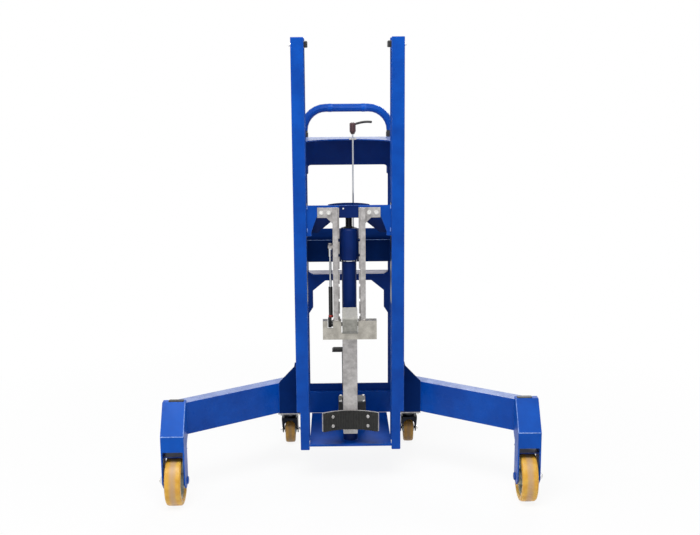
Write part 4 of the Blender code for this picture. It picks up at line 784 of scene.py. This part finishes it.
# %% Ribs, bearings and spacers
RIB_COUNT = 5
RIB = (42 * MM, 6 * MM, 11 * MM)
RIB_MIDDLE = 49 * MM
WEB_HALF = 8 * MM
HUB_END = 35 * MM
CASTOR_HUB_END = 27 * MM
SEAL = (15 * MM, 23 * MM, 1 * MM)
RACE = (10.4 * MM, 14.6 * MM, 1.6 * MM)
SPACER = (10.2 * MM, 28 * MM, 2.8 * MM)
SPACER_OFFSET = 1.9 * MM
CASTOR_SEAL = (6.6 * MM, 13 * MM, 1 * MM)


def washer(inner, outer, thick, steps=32):
    """A flat ring that rises from its origin."""
    return lathe([(inner, 0), (outer, 0), (outer, thick * 0.7), (outer - thick * 0.3, thick),
                  (inner, thick)], steps, ring=True)


def both_faces(shape, centre, reach, spin=0.0):
    """The same shape on both sides of a wheel, facing outwards."""
    return [posed(shape, Vector(centre) + Vector((way * reach, 0, 0)), (way, 0, 0), spin)
            for way in (-1, 1)]


for side, sign in SIDES:
    x, y, radius = FRONT_WHEEL
    centre = (sign * x, y, radius)
    rib = slab([(px + RIB_MIDDLE, py) for px, py in oblong(*RIB[:2])], RIB[2], 1.5 * MM)
    ribs = []
    for i in range(RIB_COUNT):
        ribs += both_faces(rib, centre, WEB_HALF, 2 * pi * i / RIB_COUNT)
    piece("wheel_ribs_" + side, ribs, GREY_IRON, "front_wheel_" + side)
    piece("wheel_seals_" + side, both_faces(washer(*SEAL), centre, HUB_END), RUBBER,
          "front_wheel_" + side)
    piece("wheel_races_" + side, both_faces(washer(*RACE), centre, HUB_END), GROUND_STEEL,
          "front_wheel_" + side)
    piece("wheel_spacers_" + side, both_faces(washer(*SPACER), centre, HUB_END + SPACER_OFFSET),
          BRIGHT_ZINC, "frame")
    x, y, radius = CASTOR_WHEEL
    piece("castor_seals_" + side, both_faces(washer(*CASTOR_SEAL), (sign * x, y, radius), CASTOR_HUB_END),
          RUBBER, "castor_wheel_" + side)
print(2 * RIB_COUNT, "ribs on each front wheel")

# %% [markdown]
# A wheel's axle is a long bolt through the fork: a low round head inside, and outside a washer,
# a nut and the end of the thread. A real thread is a helix, but a stack of ridges at its pitch
# of 1.5 mm looks the same, and the lathe makes it from a profile that zigzags.

# %% Axles
AXLE_RADIUS = 10 * MM
AXLE_SEAT = 46.3 * MM
AXLE_END = 65.3 * MM
INNER_HEAD = (16 * MM, 6 * MM)
AXLE_WASHER = (17 * MM, 3 * MM)
AXLE_NUT = (27 * MM, 11 * MM, 1.4 * MM)
THREAD_START = 14 * MM
THREAD_RADIUS = 8 * MM
THREAD_PITCH = 1.5 * MM


def thread(radius, length):
    """A threaded end, ridged at its pitch and chamfered at the tip."""
    profile = [(0, 0)]
    for i in range(int(length / THREAD_PITCH)):
        profile += [(radius, i * THREAD_PITCH),
                    (radius - 0.45 * THREAD_PITCH, (i + 0.5) * THREAD_PITCH)]
    return lathe(profile + [(radius - THREAD_PITCH, length), (0, length)], 20)


for side, sign in SIDES:
    x, y, radius = FRONT_WHEEL
    centre = Vector((sign * x, y, radius))
    outward = Vector((sign, 0, 0))
    head, rise = INNER_HEAD
    dome = [(0, 0), (head, 0), (head, rise * 0.35), (head * 0.86, rise * 0.8), (head * 0.5, rise), (0, rise)]
    piece("axle_head_" + side, [posed(lathe(dome, 32), centre - outward * AXLE_SEAT, -outward)], POWDER_BLUE,
          "frame")
    shapes = [posed(lathe([(0, -AXLE_SEAT), (AXLE_RADIUS, -AXLE_SEAT), (AXLE_RADIUS, AXLE_SEAT),
                           (0, AXLE_SEAT)], 24), centre, outward),
              posed(washer(AXLE_RADIUS, *AXLE_WASHER), centre + outward * AXLE_SEAT, outward),
              posed(slab(polygon(6, AXLE_NUT[0]), *AXLE_NUT[1:]),
                    centre + outward * (AXLE_SEAT + AXLE_WASHER[1]), outward, 0.2),
              posed(thread(THREAD_RADIUS, AXLE_END - AXLE_SEAT - THREAD_START),
                    centre + outward * (AXLE_SEAT + THREAD_START), outward)]
    piece("axle_bolt_" + side, shapes, BRIGHT_ZINC, "frame", replaced=("front_axle_" + side,))
print("two axle bolts,", round(2 * AXLE_SEAT / MM), "mm between seats")

# %% [markdown]
# The castors hang from four bolts in their plates, with a rubber dust ring between the two ball
# races. Their own axle has a nut on each side, and a pressed hood arches over the tyre at the
# fork's front. A real hood is pressed from one sheet with the fork, and here it is a plate with
# an arch cut in it, which looks the same from outside. The bolts keep clear of the fork, which
# swings past under them.

# %% Castor fittings
CASTOR_SWIVEL = (0.274, 0.296)
PLATE_UNDERSIDE = 0.1587
PLATE_BOLTS = (41 * MM, 31 * MM)
CASTOR_BOLT, CASTOR_NUT = 11 * MM, 15 * MM
DUST_RING, DUST_RING_FOOT = (29 * MM, 32 * MM, 5 * MM), 0.1522
CHEEK_FACE = 37 * MM
HOOD_ARCH, HOOD_HALF, HOOD_THICK = 24.5 * MM, 33.5 * MM, 2.5 * MM
HOOD_SPRING, HOOD_FOOT, HOOD_TOP = 0.1035, 0.094, 0.1385
HOOD_CORNER = 8 * MM
hood = [(-HOOD_HALF, HOOD_FOOT), (-HOOD_ARCH, HOOD_FOOT)]
for i in range(13):
    turn = pi * (1 - i / 12)
    hood.append((HOOD_ARCH * cos(turn), HOOD_SPRING + HOOD_ARCH * sin(turn)))
hood += [(HOOD_ARCH, HOOD_FOOT), (HOOD_HALF, HOOD_FOOT), (HOOD_HALF, HOOD_TOP - HOOD_CORNER),
         (HOOD_HALF - HOOD_CORNER, HOOD_TOP), (HOOD_CORNER - HOOD_HALF, HOOD_TOP),
         (-HOOD_HALF, HOOD_TOP - HOOD_CORNER)]

for side, sign in SIDES:
    x, y = sign * CASTOR_SWIVEL[0], CASTOR_SWIVEL[1]
    shapes = []
    for across in (-1, 1):
        for along in (-1, 1):
            shapes += bolt((x + across * PLATE_BOLTS[0], y + along * PLATE_BOLTS[1], PLATE_UNDERSIDE),
                           (0, 0, -1), CASTOR_BOLT, 1.2 * MM)
    piece("castor_plate_bolts_" + side, shapes, BRIGHT_ZINC, "frame")
    front = (x, y - CHEEK_FACE, 0.0)
    piece("castor_hood_" + side, [posed(slab(hood, HOOD_THICK), front, (0, -1, 0))], NITRIDED_AND_DARK_REFLECTION,
          "castor_" + side)
    piece("castor_dust_ring_" + side, [posed(washer(*DUST_RING), (x, y, DUST_RING_FOOT))], RUBBER,
          "frame")
    nuts = []
    for way in (-1, 1):
        nuts += bolt((x + way * CHEEK_FACE, *CASTOR_WHEEL[1:]), (way, 0, 0), CASTOR_NUT, 1 * MM)
    piece("castor_axle_nuts_" + side, nuts, BRIGHT_ZINC, "castor_" + side)
print("castor bolts are", round(CASTOR_BOLT / MM), "mm across flats")

# %% [markdown]
# Legs, wings and forks are welded with a fillet of about 6 mm. Under powder coat a weld still
# shows its ripples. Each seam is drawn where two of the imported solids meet, so it can't miss
# its corner when seen from another side.

# %% Welds of the base
POST_SIDE = 0.2238
POST_SEAM = (0.312, 0.466)
WING_FRONT, WING_REAR, WING_EDGE = -0.050, -0.042, 0.300
LEG_BOTTOM, LEG_TOP = 0.268, 0.401
SIDE_FACE = 0.2362
LEG_ROOT = (0.008, 0.074)
FORK_BACK = -0.2995
FORK_SEAM = (0.668, 0.738)
BASE_BEAD = 6 * MM

for side, sign in SIDES:
    corner = (sign * POST_SIDE, WING_FRONT - 1 * MM)
    tip = (sign * (WING_EDGE + 1 * MM), WING_REAR - 2 * MM)
    seams = [bead(*[(*corner, z) for z in POST_SEAM]),
             bead((*tip, LEG_BOTTOM + 6 * MM), (*tip, LEG_TOP - 4 * MM), BASE_BEAD)]
    for z in (LEG_TOP, LEG_BOTTOM):
        seams.append(bead(*[(sign * SIDE_FACE, y, z) for y in LEG_ROOT], BASE_BEAD))
    for z in (LEG_TOP, LEG_BOTTOM):
        seams.append(bead(*[(sign * x, FORK_BACK, z) for x in FORK_SEAM], BASE_BEAD))
    piece("base_welds_" + side, seams, POWDER_BLUE, "frame", crease=60)
print(len(seams), "seams a side")

# %% [markdown]
# A fork's folds catch the light along their rounded edges. The recipe's worn edges are too thin
# to see from four metres, so a pale rod less than 4 mm thick runs along each fold as a painted
# highlight. A web plate closes the fork above the wheel, where little light gets in, and it is
# in the darker blue as painted shade. Black plastic caps close the fork's top and the rear
# beam's ends.

# %% Folds, webs and end caps
FORK_TOP, FORK_TOP_MIDDLE = 0.416, -0.315
FORK_EDGE = 44.6 * MM
FOLD, BROW = (-0.4112, 0.3003), (-0.3306, 0.4145)
WEB, WEB_AT = (84 * MM, 105 * MM), (-0.3525, 0.2118)
CAP, CAP_MIDDLE = (60 * MM, 24 * MM, 4 * MM), 0.693
PLUG = (89 * MM, 89 * MM, 5 * MM)
BEAM_MIDDLE = (0.305, 0.215)
BEAM_END = 0.3215

for side, sign in SIDES:
    edge_x = sign * (FRONT_WHEEL[0] - FORK_EDGE)
    outer_x = sign * (FRONT_WHEEL[0] + FORK_EDGE)
    # A pale rod on each fold: a painted highlight
    folds = [swept([(edge_x, *FOLD), (outer_x, *FOLD)], 1.8 * MM, 10),
             swept([(edge_x, *FOLD), (edge_x, *BROW)], 1.5 * MM, 10)]
    piece("fork_folds_" + side, folds, POWDER_PAINTED_HIGHLIGHT, "frame", crease=60)
    # The web plate in the darker blue: painted shade above the wheel
    web = slab(oblong(*WEB, 3 * MM), 3 * MM)
    piece("fork_web_" + side, [posed(web, (sign * FRONT_WHEEL[0], *WEB_AT))], POWDER_BLUE_SHADED, "frame")
    cap = slab(oblong(*CAP), 3 * MM, 1 * MM)
    piece("fork_cap_" + side, [posed(cap, (sign * CAP_MIDDLE, FORK_TOP_MIDDLE, FORK_TOP))], NYLON,
          "frame")
    plug = slab(oblong(*PLUG), 4 * MM, 1.5 * MM)
    piece("beam_cap_" + side, [posed(plug, (sign * BEAM_END, *BEAM_MIDDLE), (sign, 0, 0))], NYLON, "frame")
print("a fork is", round(2 * FORK_EDGE / MM, 1), "mm wide over its folds")

# %% [markdown]
# A stop block at the top of each post keeps the carriage from running out. Two bolts through
# the post's web hold it, so their heads show on the outer face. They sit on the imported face
# itself, so that no gap shows under a washer.

# %% Bolts of the stops
POST_FACE = 0.2235
STOP_BOLTS = ((-0.107, 1.8035), (-0.073, 1.8035))

for side, sign in SIDES:
    heads = [shape for y, z in STOP_BOLTS for shape in bolt((sign * POST_FACE, y, z), (sign, 0, 0))]
    piece("stop_bolts_" + side, heads, BRIGHT_ZINC, "frame")

# %% [markdown]
# The ram is welded to the floor plate. A bright ring closes the cylinder under the gland, and a
# wiper seal of black rubber stands on the gland and sweeps the rod clean as it goes in. All of
# these are round, so they come from the lathe, and only the weld is rippled.

# %% Ram fittings
RAM = (0.0, -0.090)
RAM_RADIUS = 30 * MM
FLOOR_TOP = 0.1655
CYLINDER_TOP, GLAND_TOP = 0.942, 1.073

piece("ram_foot_weld", [ring_bead((*RAM, FLOOR_TOP + 1 * MM), RAM_RADIUS + 1 * MM, width=6 * MM)],
      POWDER_BLUE, "frame", crease=60)
piece("ram_ring", [posed(washer(RAM_RADIUS + 0.2 * MM, RAM_RADIUS + 5 * MM, 4 * MM),
                         (*RAM, CYLINDER_TOP - 4.2 * MM))], HARD_CHROME, "frame")
wiper = [(13.9 * MM, 0), (21 * MM, 0), (21 * MM, 2 * MM), (16 * MM, 3 * MM), (14.6 * MM, 4.4 * MM),
         (13.9 * MM, 4.4 * MM)]
piece("ram_wiper", [posed(lathe(wiper, 40, ring=True), (*RAM, GLAND_TOP))], RUBBER, "frame")
print("gland stands", round((GLAND_TOP - CYLINDER_TOP) / MM), "mm tall")

# %% [markdown]
# Two bolts hold each rail's lug to the carriage. They are M8, so 13 mm across flats. The rails
# are welded to the gripper's head, and these two short welds are plated with the rest. A block
# with one small screw closes the lift yoke in front, in the darker blue as painted shade. The
# shelf's front fold and the corners of the carriage carry pale rods and beads as painted
# highlights, like the forks' folds.

# %% Carriage bolts, rail welds and scuffs
LUG_FACE = -0.1453
LUG_BOLTS = (0.0813, 0.1106)
LUG_BOLT_HEIGHT = 1.1415
RAIL_SPAN = (0.042, 0.063)
HEAD_TOP = 0.7007
CORNER_WELDS = ((1.062, 1.078), (1.155, 1.169))
CORNER_X, PLATE_FACE = 0.1680, -0.1395
LIFT_BLOCK = (77 * MM, 49 * MM, 7 * MM)
LIFT_BLOCK_AT = (0.0, -0.1392, 1.1448)
LIFT_SCREW = (-0.0225, 1.158)
RAIL_SEAM = -0.1635
SHELF_INSET, SHELF_LIFT = 12 * MM, 0.6 * MM

heads = []
for side, sign in SIDES:
    for x in LUG_BOLTS:
        heads += bolt((sign * x, LUG_FACE, LUG_BOLT_HEIGHT), (0, -1, 0), 13 * MM, 1.6 * MM)
piece("lug_bolts", heads, BRIGHT_ZINC, "carriage")
seams = [bead(*[(sign * x, RAIL_SEAM, HEAD_TOP + 1 * MM) for x in RAIL_SPAN], 4 * MM)
         for side, sign in SIDES]
piece("rail_welds", seams, ZINC_PLATE, "carriage", crease=60)
# Pale beads at the carriage's corners: painted highlights of weld glints
corners = []
for side, sign in SIDES:
    for low, high in CORNER_WELDS:
        corners.append(bead((sign * CORNER_X, PLATE_FACE, low), (sign * CORNER_X, PLATE_FACE, high), 4 * MM))
# The lift block in the darker blue: painted shade
block = slab(oblong(*LIFT_BLOCK[:2], 3 * MM), LIFT_BLOCK[2], 1 * MM)
piece("lift_block", [posed(block, LIFT_BLOCK_AT, (0, -1, 0))], POWDER_BLUE_SHADED, "carriage")
head = bolt((LIFT_SCREW[0], LIFT_BLOCK_AT[1] - LIFT_BLOCK[2], LIFT_SCREW[1]), (0, -1, 0), 5 * MM,
            0.6 * MM)
piece("lift_block_screw", head, BRIGHT_ZINC, "carriage")
piece("corner_welds", corners, POWDER_PAINTED_HIGHLIGHT, "carriage", crease=60)
# A pale rod on the shelf's front fold: a painted highlight
shelf_low, shelf_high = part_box("mid_shelf")
fold = [(sign * (shelf_high[0] - SHELF_INSET), shelf_low[1] + SHELF_LIFT, shelf_high[2] - SHELF_LIFT)
        for side, sign in SIDES]
piece("shelf_fold", [swept(fold, 1.0 * MM, 10)], POWDER_PAINTED_HIGHLIGHT, "frame", crease=60)
print("the shelf's fold is", round((fold[1][0] - fold[0][0]) / MM), "mm long")

# %% [markdown]
# The beak's spring strut hangs from a tab on the left rail by a bolt and a nut. Its lower end
# works the slotted lever on the beak's shaft, and a red ring seals the tube. Behind the head a
# black shoe carries the pin. The shaft is held by a circlip on its free end. Each fitting rides
# on the body that carries it, so the seal and the shoe slide down with the tube.

# %% Strut and shaft fittings
STRUT = (-0.077, -0.118)
STRUT_TOP = 0.995
TUBE_BOTTOM = 0.704
SHAFT = (-0.148, 0.682)
SHAFT_END = 0.0405
SHOE = (15 * MM, 16 * MM, 4 * MM)
SHOE_TALL = 41 * MM

piece("strut_bolt", bolt((*STRUT, STRUT_TOP + 8.3 * MM), (0, 0, 1), 13 * MM, 1.4 * MM), ZINC_PLATE,
      "carriage")
piece("strut_nut", [posed(slab(polygon(6, 19 * MM), 7 * MM, 1 * MM), (*STRUT, STRUT_TOP - 7.6 * MM))],
      HARD_CHROME, "carriage")
piece("strut_seal", [posed(washer(8.6 * MM, 10 * MM, 9 * MM, 24), (*STRUT, TUBE_BOTTOM + 2 * MM))],
      RED_PLASTIC, "strut")
shoe = slab(oblong(*SHOE), SHOE_TALL, 2 * MM)
piece("strut_shoe", [posed(shoe, (STRUT[0] - 4.2 * MM, STRUT[1], TUBE_BOTTOM - 0.2 * MM - SHOE_TALL))],
      BLACK_ENAMEL, "strut")
clip = washer(8.1 * MM, 12 * MM, 1.6 * MM)
piece("shaft_clip", [posed(clip, (SHAFT_END, *SHAFT), (1, 0, 0))], GROUND_STEEL, "jaw")
print("the strut hangs", round((STRUT_TOP - TUBE_BOTTOM) / MM), "mm down from its tab")

# %% [markdown]
# The belly rest is a curved rubber pad that the load's side leans on. Its face has upright ribs a
# little over 10 mm apart, which grip a painted side without marking it, and four sunk rivets
# hold it to the saddle behind. The pad is one outline in plan, raised to its height.

# %% Rest pad
PAD_CENTRE = (0.0, -0.380)
PAD_RADII = (0.200, 0.208)
PAD_SPAN = radians(33)
PAD_FOOT, PAD_HEIGHT = 0.240, 0.080
PAD_RIBS = 22
PAD_STEPS = 14
GROOVE = 2.4 * MM
RIVET_TURNS = (radians(-21), radians(21))
RIVET_HEIGHTS = (PAD_FOOT + 20 * MM, PAD_FOOT + 60 * MM)


def on_pad(radius, turn):
    """A point on an arc about the pad's centre."""
    return (radius * sin(turn), radius * cos(turn))


face = []
for i in range(PAD_RIBS * 4 + 1):
    turn = PAD_SPAN - 2 * PAD_SPAN * i / (PAD_RIBS * 4)
    face.append(on_pad(PAD_RADII[0] + (GROOVE if i % 4 in (2, 3) else 0.0), turn))
back = [on_pad(PAD_RADII[1], PAD_SPAN * i / PAD_STEPS) for i in range(-PAD_STEPS, PAD_STEPS + 1)]
pad = slab(back + face, PAD_HEIGHT)
piece("rest_pad_ribbed", [posed(pad, (*PAD_CENTRE, PAD_FOOT))], RUBBER, "carriage",
      replaced=("rest_pad",))
rivet = lathe([(0, 0), (7 * MM, 0), (7 * MM, 0.8 * MM), (5.4 * MM, 2.0 * MM), (2 * MM, 1.4 * MM),
               (0, 1.2 * MM)], 20)
rivets = []
for turn in RIVET_TURNS:
    x, y = on_pad(PAD_RADII[0], turn)
    for z in RIVET_HEIGHTS:
        rivets.append(posed(rivet, (x, PAD_CENTRE[1] + y, z), (-sin(turn), -cos(turn), 0)))
piece("rest_rivets", rivets, ZINC_PLATE, "carriage")
print("rib spacing", round(2 * PAD_SPAN * PAD_RADII[0] / PAD_RIBS / MM, 1), "mm")

# %% [markdown]
# The push handle is a 35 mm tube behind the rear frame. Four saddle clamps bolt it on, a black
# sleeve covers each leg where it passes the deck, plugs close the ends, and two paler bands go
# round the cross bar. A clamp could be a bent strip, but its plan is the same all the way up,
# so one outline of two arcs and two ears is raised to its height.

# %% Handle fittings
HANDLE_X, HANDLE_Y, HANDLE_TOP, HANDLE_FOOT = 0.190, 0.2938, 1.545, 1.260
TUBE_RADIUS = 17.5 * MM
CLAMP_HEIGHTS = (1.318, 1.388)
CLAMP_TALL, CLAMP_THICK = 18 * MM, 3 * MM
CLAMP_EAR, CLAMP_SCREW = 33 * MM, 26.5 * MM
SLEEVE_FOOT, SLEEVE_TALL = 1.4195, 28 * MM
FRAME_BACK = 0.2763
BANDS, BAND_WIDE = (-0.082, 0.064), 20 * MM


def saddle(inner, outer, ear, thick):
    """The plan of a strap over a tube, with an ear on each side."""
    low = FRAME_BACK - HANDLE_Y
    high = low + thick
    start = -atan(-high / (outer ** 2 - high ** 2) ** 0.5)
    steps = [start + (pi - 2 * start) * i / 16 for i in range(17)]
    over = [(outer * cos(t), outer * sin(t)) for t in steps]
    start = -atan(-low / (inner ** 2 - low ** 2) ** 0.5)
    steps = [start + (pi - 2 * start) * i / 16 for i in range(17)]
    under = [(inner * cos(t), inner * sin(t)) for t in steps]
    return [(ear, low), (ear, high)] + over + [(-ear, high), (-ear, low)] + under[::-1]


clamps, screws, sleeves = [], [], []
for side, sign in SIDES:
    for z in CLAMP_HEIGHTS:
        strap = slab(saddle(TUBE_RADIUS + 0.2 * MM, TUBE_RADIUS + 3.4 * MM, CLAMP_EAR, CLAMP_THICK),
                     CLAMP_TALL)
        clamps.append(posed(strap, (sign * HANDLE_X, HANDLE_Y, z - CLAMP_TALL / 2)))
        for way in (-1, 1):
            ear = (sign * HANDLE_X + way * CLAMP_SCREW, FRAME_BACK + CLAMP_THICK, z)
            screws += bolt(ear, (0, 1, 0), 9 * MM, 1 * MM)
    sleeve = washer(TUBE_RADIUS + 0.1 * MM, TUBE_RADIUS + 2 * MM, SLEEVE_TALL)
    sleeves.append(posed(sleeve, (sign * HANDLE_X, HANDLE_Y, SLEEVE_FOOT)))
    sleeves.append(posed(lathe([(0, 0), (TUBE_RADIUS - 1 * MM, 0), (TUBE_RADIUS - 1 * MM, 2 * MM),
                                (TUBE_RADIUS - 3 * MM, 3 * MM), (0, 3 * MM)], 32),
                         (sign * HANDLE_X, HANDLE_Y, HANDLE_FOOT), (0, 0, -1)))
piece("handle_clamps", clamps, POWDER_BLUE, "frame")
piece("clamp_screws", screws, BRIGHT_ZINC, "frame")
piece("handle_sleeves", sleeves, NYLON, "frame")
ring = washer(TUBE_RADIUS + 0.1 * MM, TUBE_RADIUS + 0.8 * MM, BAND_WIDE)
rings = [posed(ring, (x, HANDLE_Y, HANDLE_TOP), (1, 0, 0)) for x in BANDS]
piece("handle_rings", rings, POWDER_BRIGHT, "frame")
print(len(screws) // 2, "screws hold the handle")

# %% [markdown]
# Button heads hold the deck to the rear frame and the shelf to its back. A button is a low dome
# with a hexagonal socket. A socket could be cut with a boolean, but it is quicker to let the
# lathe stop at the socket's mouth and set a six-sided floor in it.

# %% Deck and shelf screws
BUTTON = (6.5 * MM, 3.2 * MM)
DECK_TOP = 1.4193
SHEET_BACK = 0.276
DECK_SCREWS = ((0.203, 0.252), (0.203, 0.010))
SHELF_SCREWS = (-0.140, 0.0, 0.140)
SHELF_SCREW_HEIGHT = 0.985


def button(at, axis):
    """A domed screw with a six-sided socket."""
    radius, rise = BUTTON
    dome = [(radius * 0.42, rise * 0.35), (radius * 0.45, rise), (radius * 0.7, rise * 0.9),
            (radius * 0.92, rise * 0.5), (radius, 0), (radius * 0.42, 0)]
    socket = slab(polygon(6, radius * 0.84), rise * 0.4)
    return [posed(lathe(dome, 24, ring=True), at, axis), posed(socket, at, axis)]


heads = []
for x, y in DECK_SCREWS:
    heads += button((x, y, DECK_TOP), (0, 0, 1)) + button((-x, y, DECK_TOP), (0, 0, 1))
for x in SHELF_SCREWS:
    heads += button((x, SHEET_BACK, SHELF_SCREW_HEIGHT), (0, 1, 0))
piece("sheet_screws", heads, BRIGHT_ZINC, "frame")
print(len(heads) // 2, "button heads")

# %% [markdown]
# The release lever is a moulded hub on a thin rod. Its arm has a black sleeve, a ball ends it,
# so a gloved finger finds it, and a screw in the hub's top clamps it to the rod. The sleeve
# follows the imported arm's own curve a fraction of a millimetre outside it.

# %% Lever ball, sleeve and screw
LEVER_TIP = (0.097, 0.075, 1.4918)
BALL_RADIUS = 5.2 * MM
HUB = (0.021, 0.075, 1.489)
ARM_REACH, ARM_DROP, ARM_RISE = 76 * MM, 8.4 * MM, 12 * MM
ARM_TURN = pi * 0.62
SLEEVE_RADIUS = 4.9 * MM

ball = [(BALL_RADIUS * sin(pi * i / 12), -BALL_RADIUS * cos(pi * i / 12)) for i in range(13)]
piece("lever_ball", [posed(lathe(ball, 24), LEVER_TIP)], NYLON, "release")
route = [(HUB[0] + ARM_REACH * i / 12, HUB[1], HUB[2] - ARM_DROP + ARM_RISE * sin(ARM_TURN * i / 12))
         for i in range(2, 13)]
piece("lever_sleeve", [swept(route, SLEEVE_RADIUS, 14)], NYLON, "release")
piece("lever_screw", button((*HUB[:2], HUB[2] - 0.2 * MM), (0, 0, 1)), ZINC_PLATE, "release")
print("the lever reaches", round((LEVER_TIP[0] - HUB[0]) / MM), "mm")

# %% [markdown]
# The foot pump stands on the floor plate. Its pressure pipe ends in hex nuts at the pump and at
# the ram, four cap screws hold its lid, and a knurled cap closes the oil filler. The knurl is a
# ring of 24 flutes, made by an outline whose radius goes in and out.

# %% Pump fittings
PUMP_TOP = 0.2903
PUMP_CORNERS = ((-0.040, 0.040), (0.060, 0.040), (-0.040, 0.120), (0.060, 0.120))
PIPE_HEIGHT = 0.210
PIPE_ENDS = (0.0296, -0.0594)
FILLER = (-0.020, 0.060)
FLUTES = 24
FLUTE_RADII = (12 * MM - 0.2 * MM, 12 * MM + 0.6 * MM)

nut = slab(polygon(6, 17 * MM), 10 * MM, 1 * MM)
nuts = [posed(nut, (0.0, PIPE_ENDS[0], PIPE_HEIGHT), (0, -1, 0)),
        posed(nut, (0.0, PIPE_ENDS[1], PIPE_HEIGHT), (0, 1, 0), 0.4)]
piece("pipe_nuts", nuts, ZINC_PLATE, "frame")
heads = [shape for x, y in PUMP_CORNERS for shape in button((x, y, PUMP_TOP), (0, 0, 1))]
piece("pump_screws", heads, BRIGHT_ZINC, "frame")
flutes = []
for i in range(FLUTES * 4):
    radius = FLUTE_RADII[1] if i % 4 in (0, 1) else FLUTE_RADII[0]
    flutes.append((radius * cos(pi / 2 * i / FLUTES), radius * sin(pi / 2 * i / FLUTES)))
piece("filler_cap", [posed(slab(flutes, 11 * MM, 1.2 * MM), (*FILLER, PUMP_TOP))], NYLON, "frame")
print("the filler cap has", FLUTES, "flutes")

# %% [markdown]
# A ribbed rubber tread is glued to the pedal so that a wet boot doesn't slip. Its ribs run
# across the foot's push, 8 mm apart. They are modelled, because bump alone would leave the
# tread's outline smooth.

# %% Pedal tread
PEDAL_MIDDLE = (-0.027, 0.428)
PEDAL_TOP = 0.419
TREAD = (94 * MM, 50 * MM)
PEDAL_RIBS, PEDAL_PITCH = 6, 8 * MM

shapes = [posed(slab(oblong(*TREAD, 4 * MM), 2.2 * MM, 0.5 * MM), (*PEDAL_MIDDLE, PEDAL_TOP))]
for i in range(PEDAL_RIBS):
    y = PEDAL_MIDDLE[1] + (i - (PEDAL_RIBS - 1) / 2) * PEDAL_PITCH
    shapes.append(posed(slab(oblong(TREAD[0] - 8 * MM, 3.6 * MM, 1.6 * MM), 1.8 * MM, 0.5 * MM),
                        (PEDAL_MIDDLE[0], y, PEDAL_TOP + 2 * MM)))
piece("pedal_tread", shapes, RUBBER, "pedal")
print("tread is", round(TREAD[0] / MM), "mm wide")
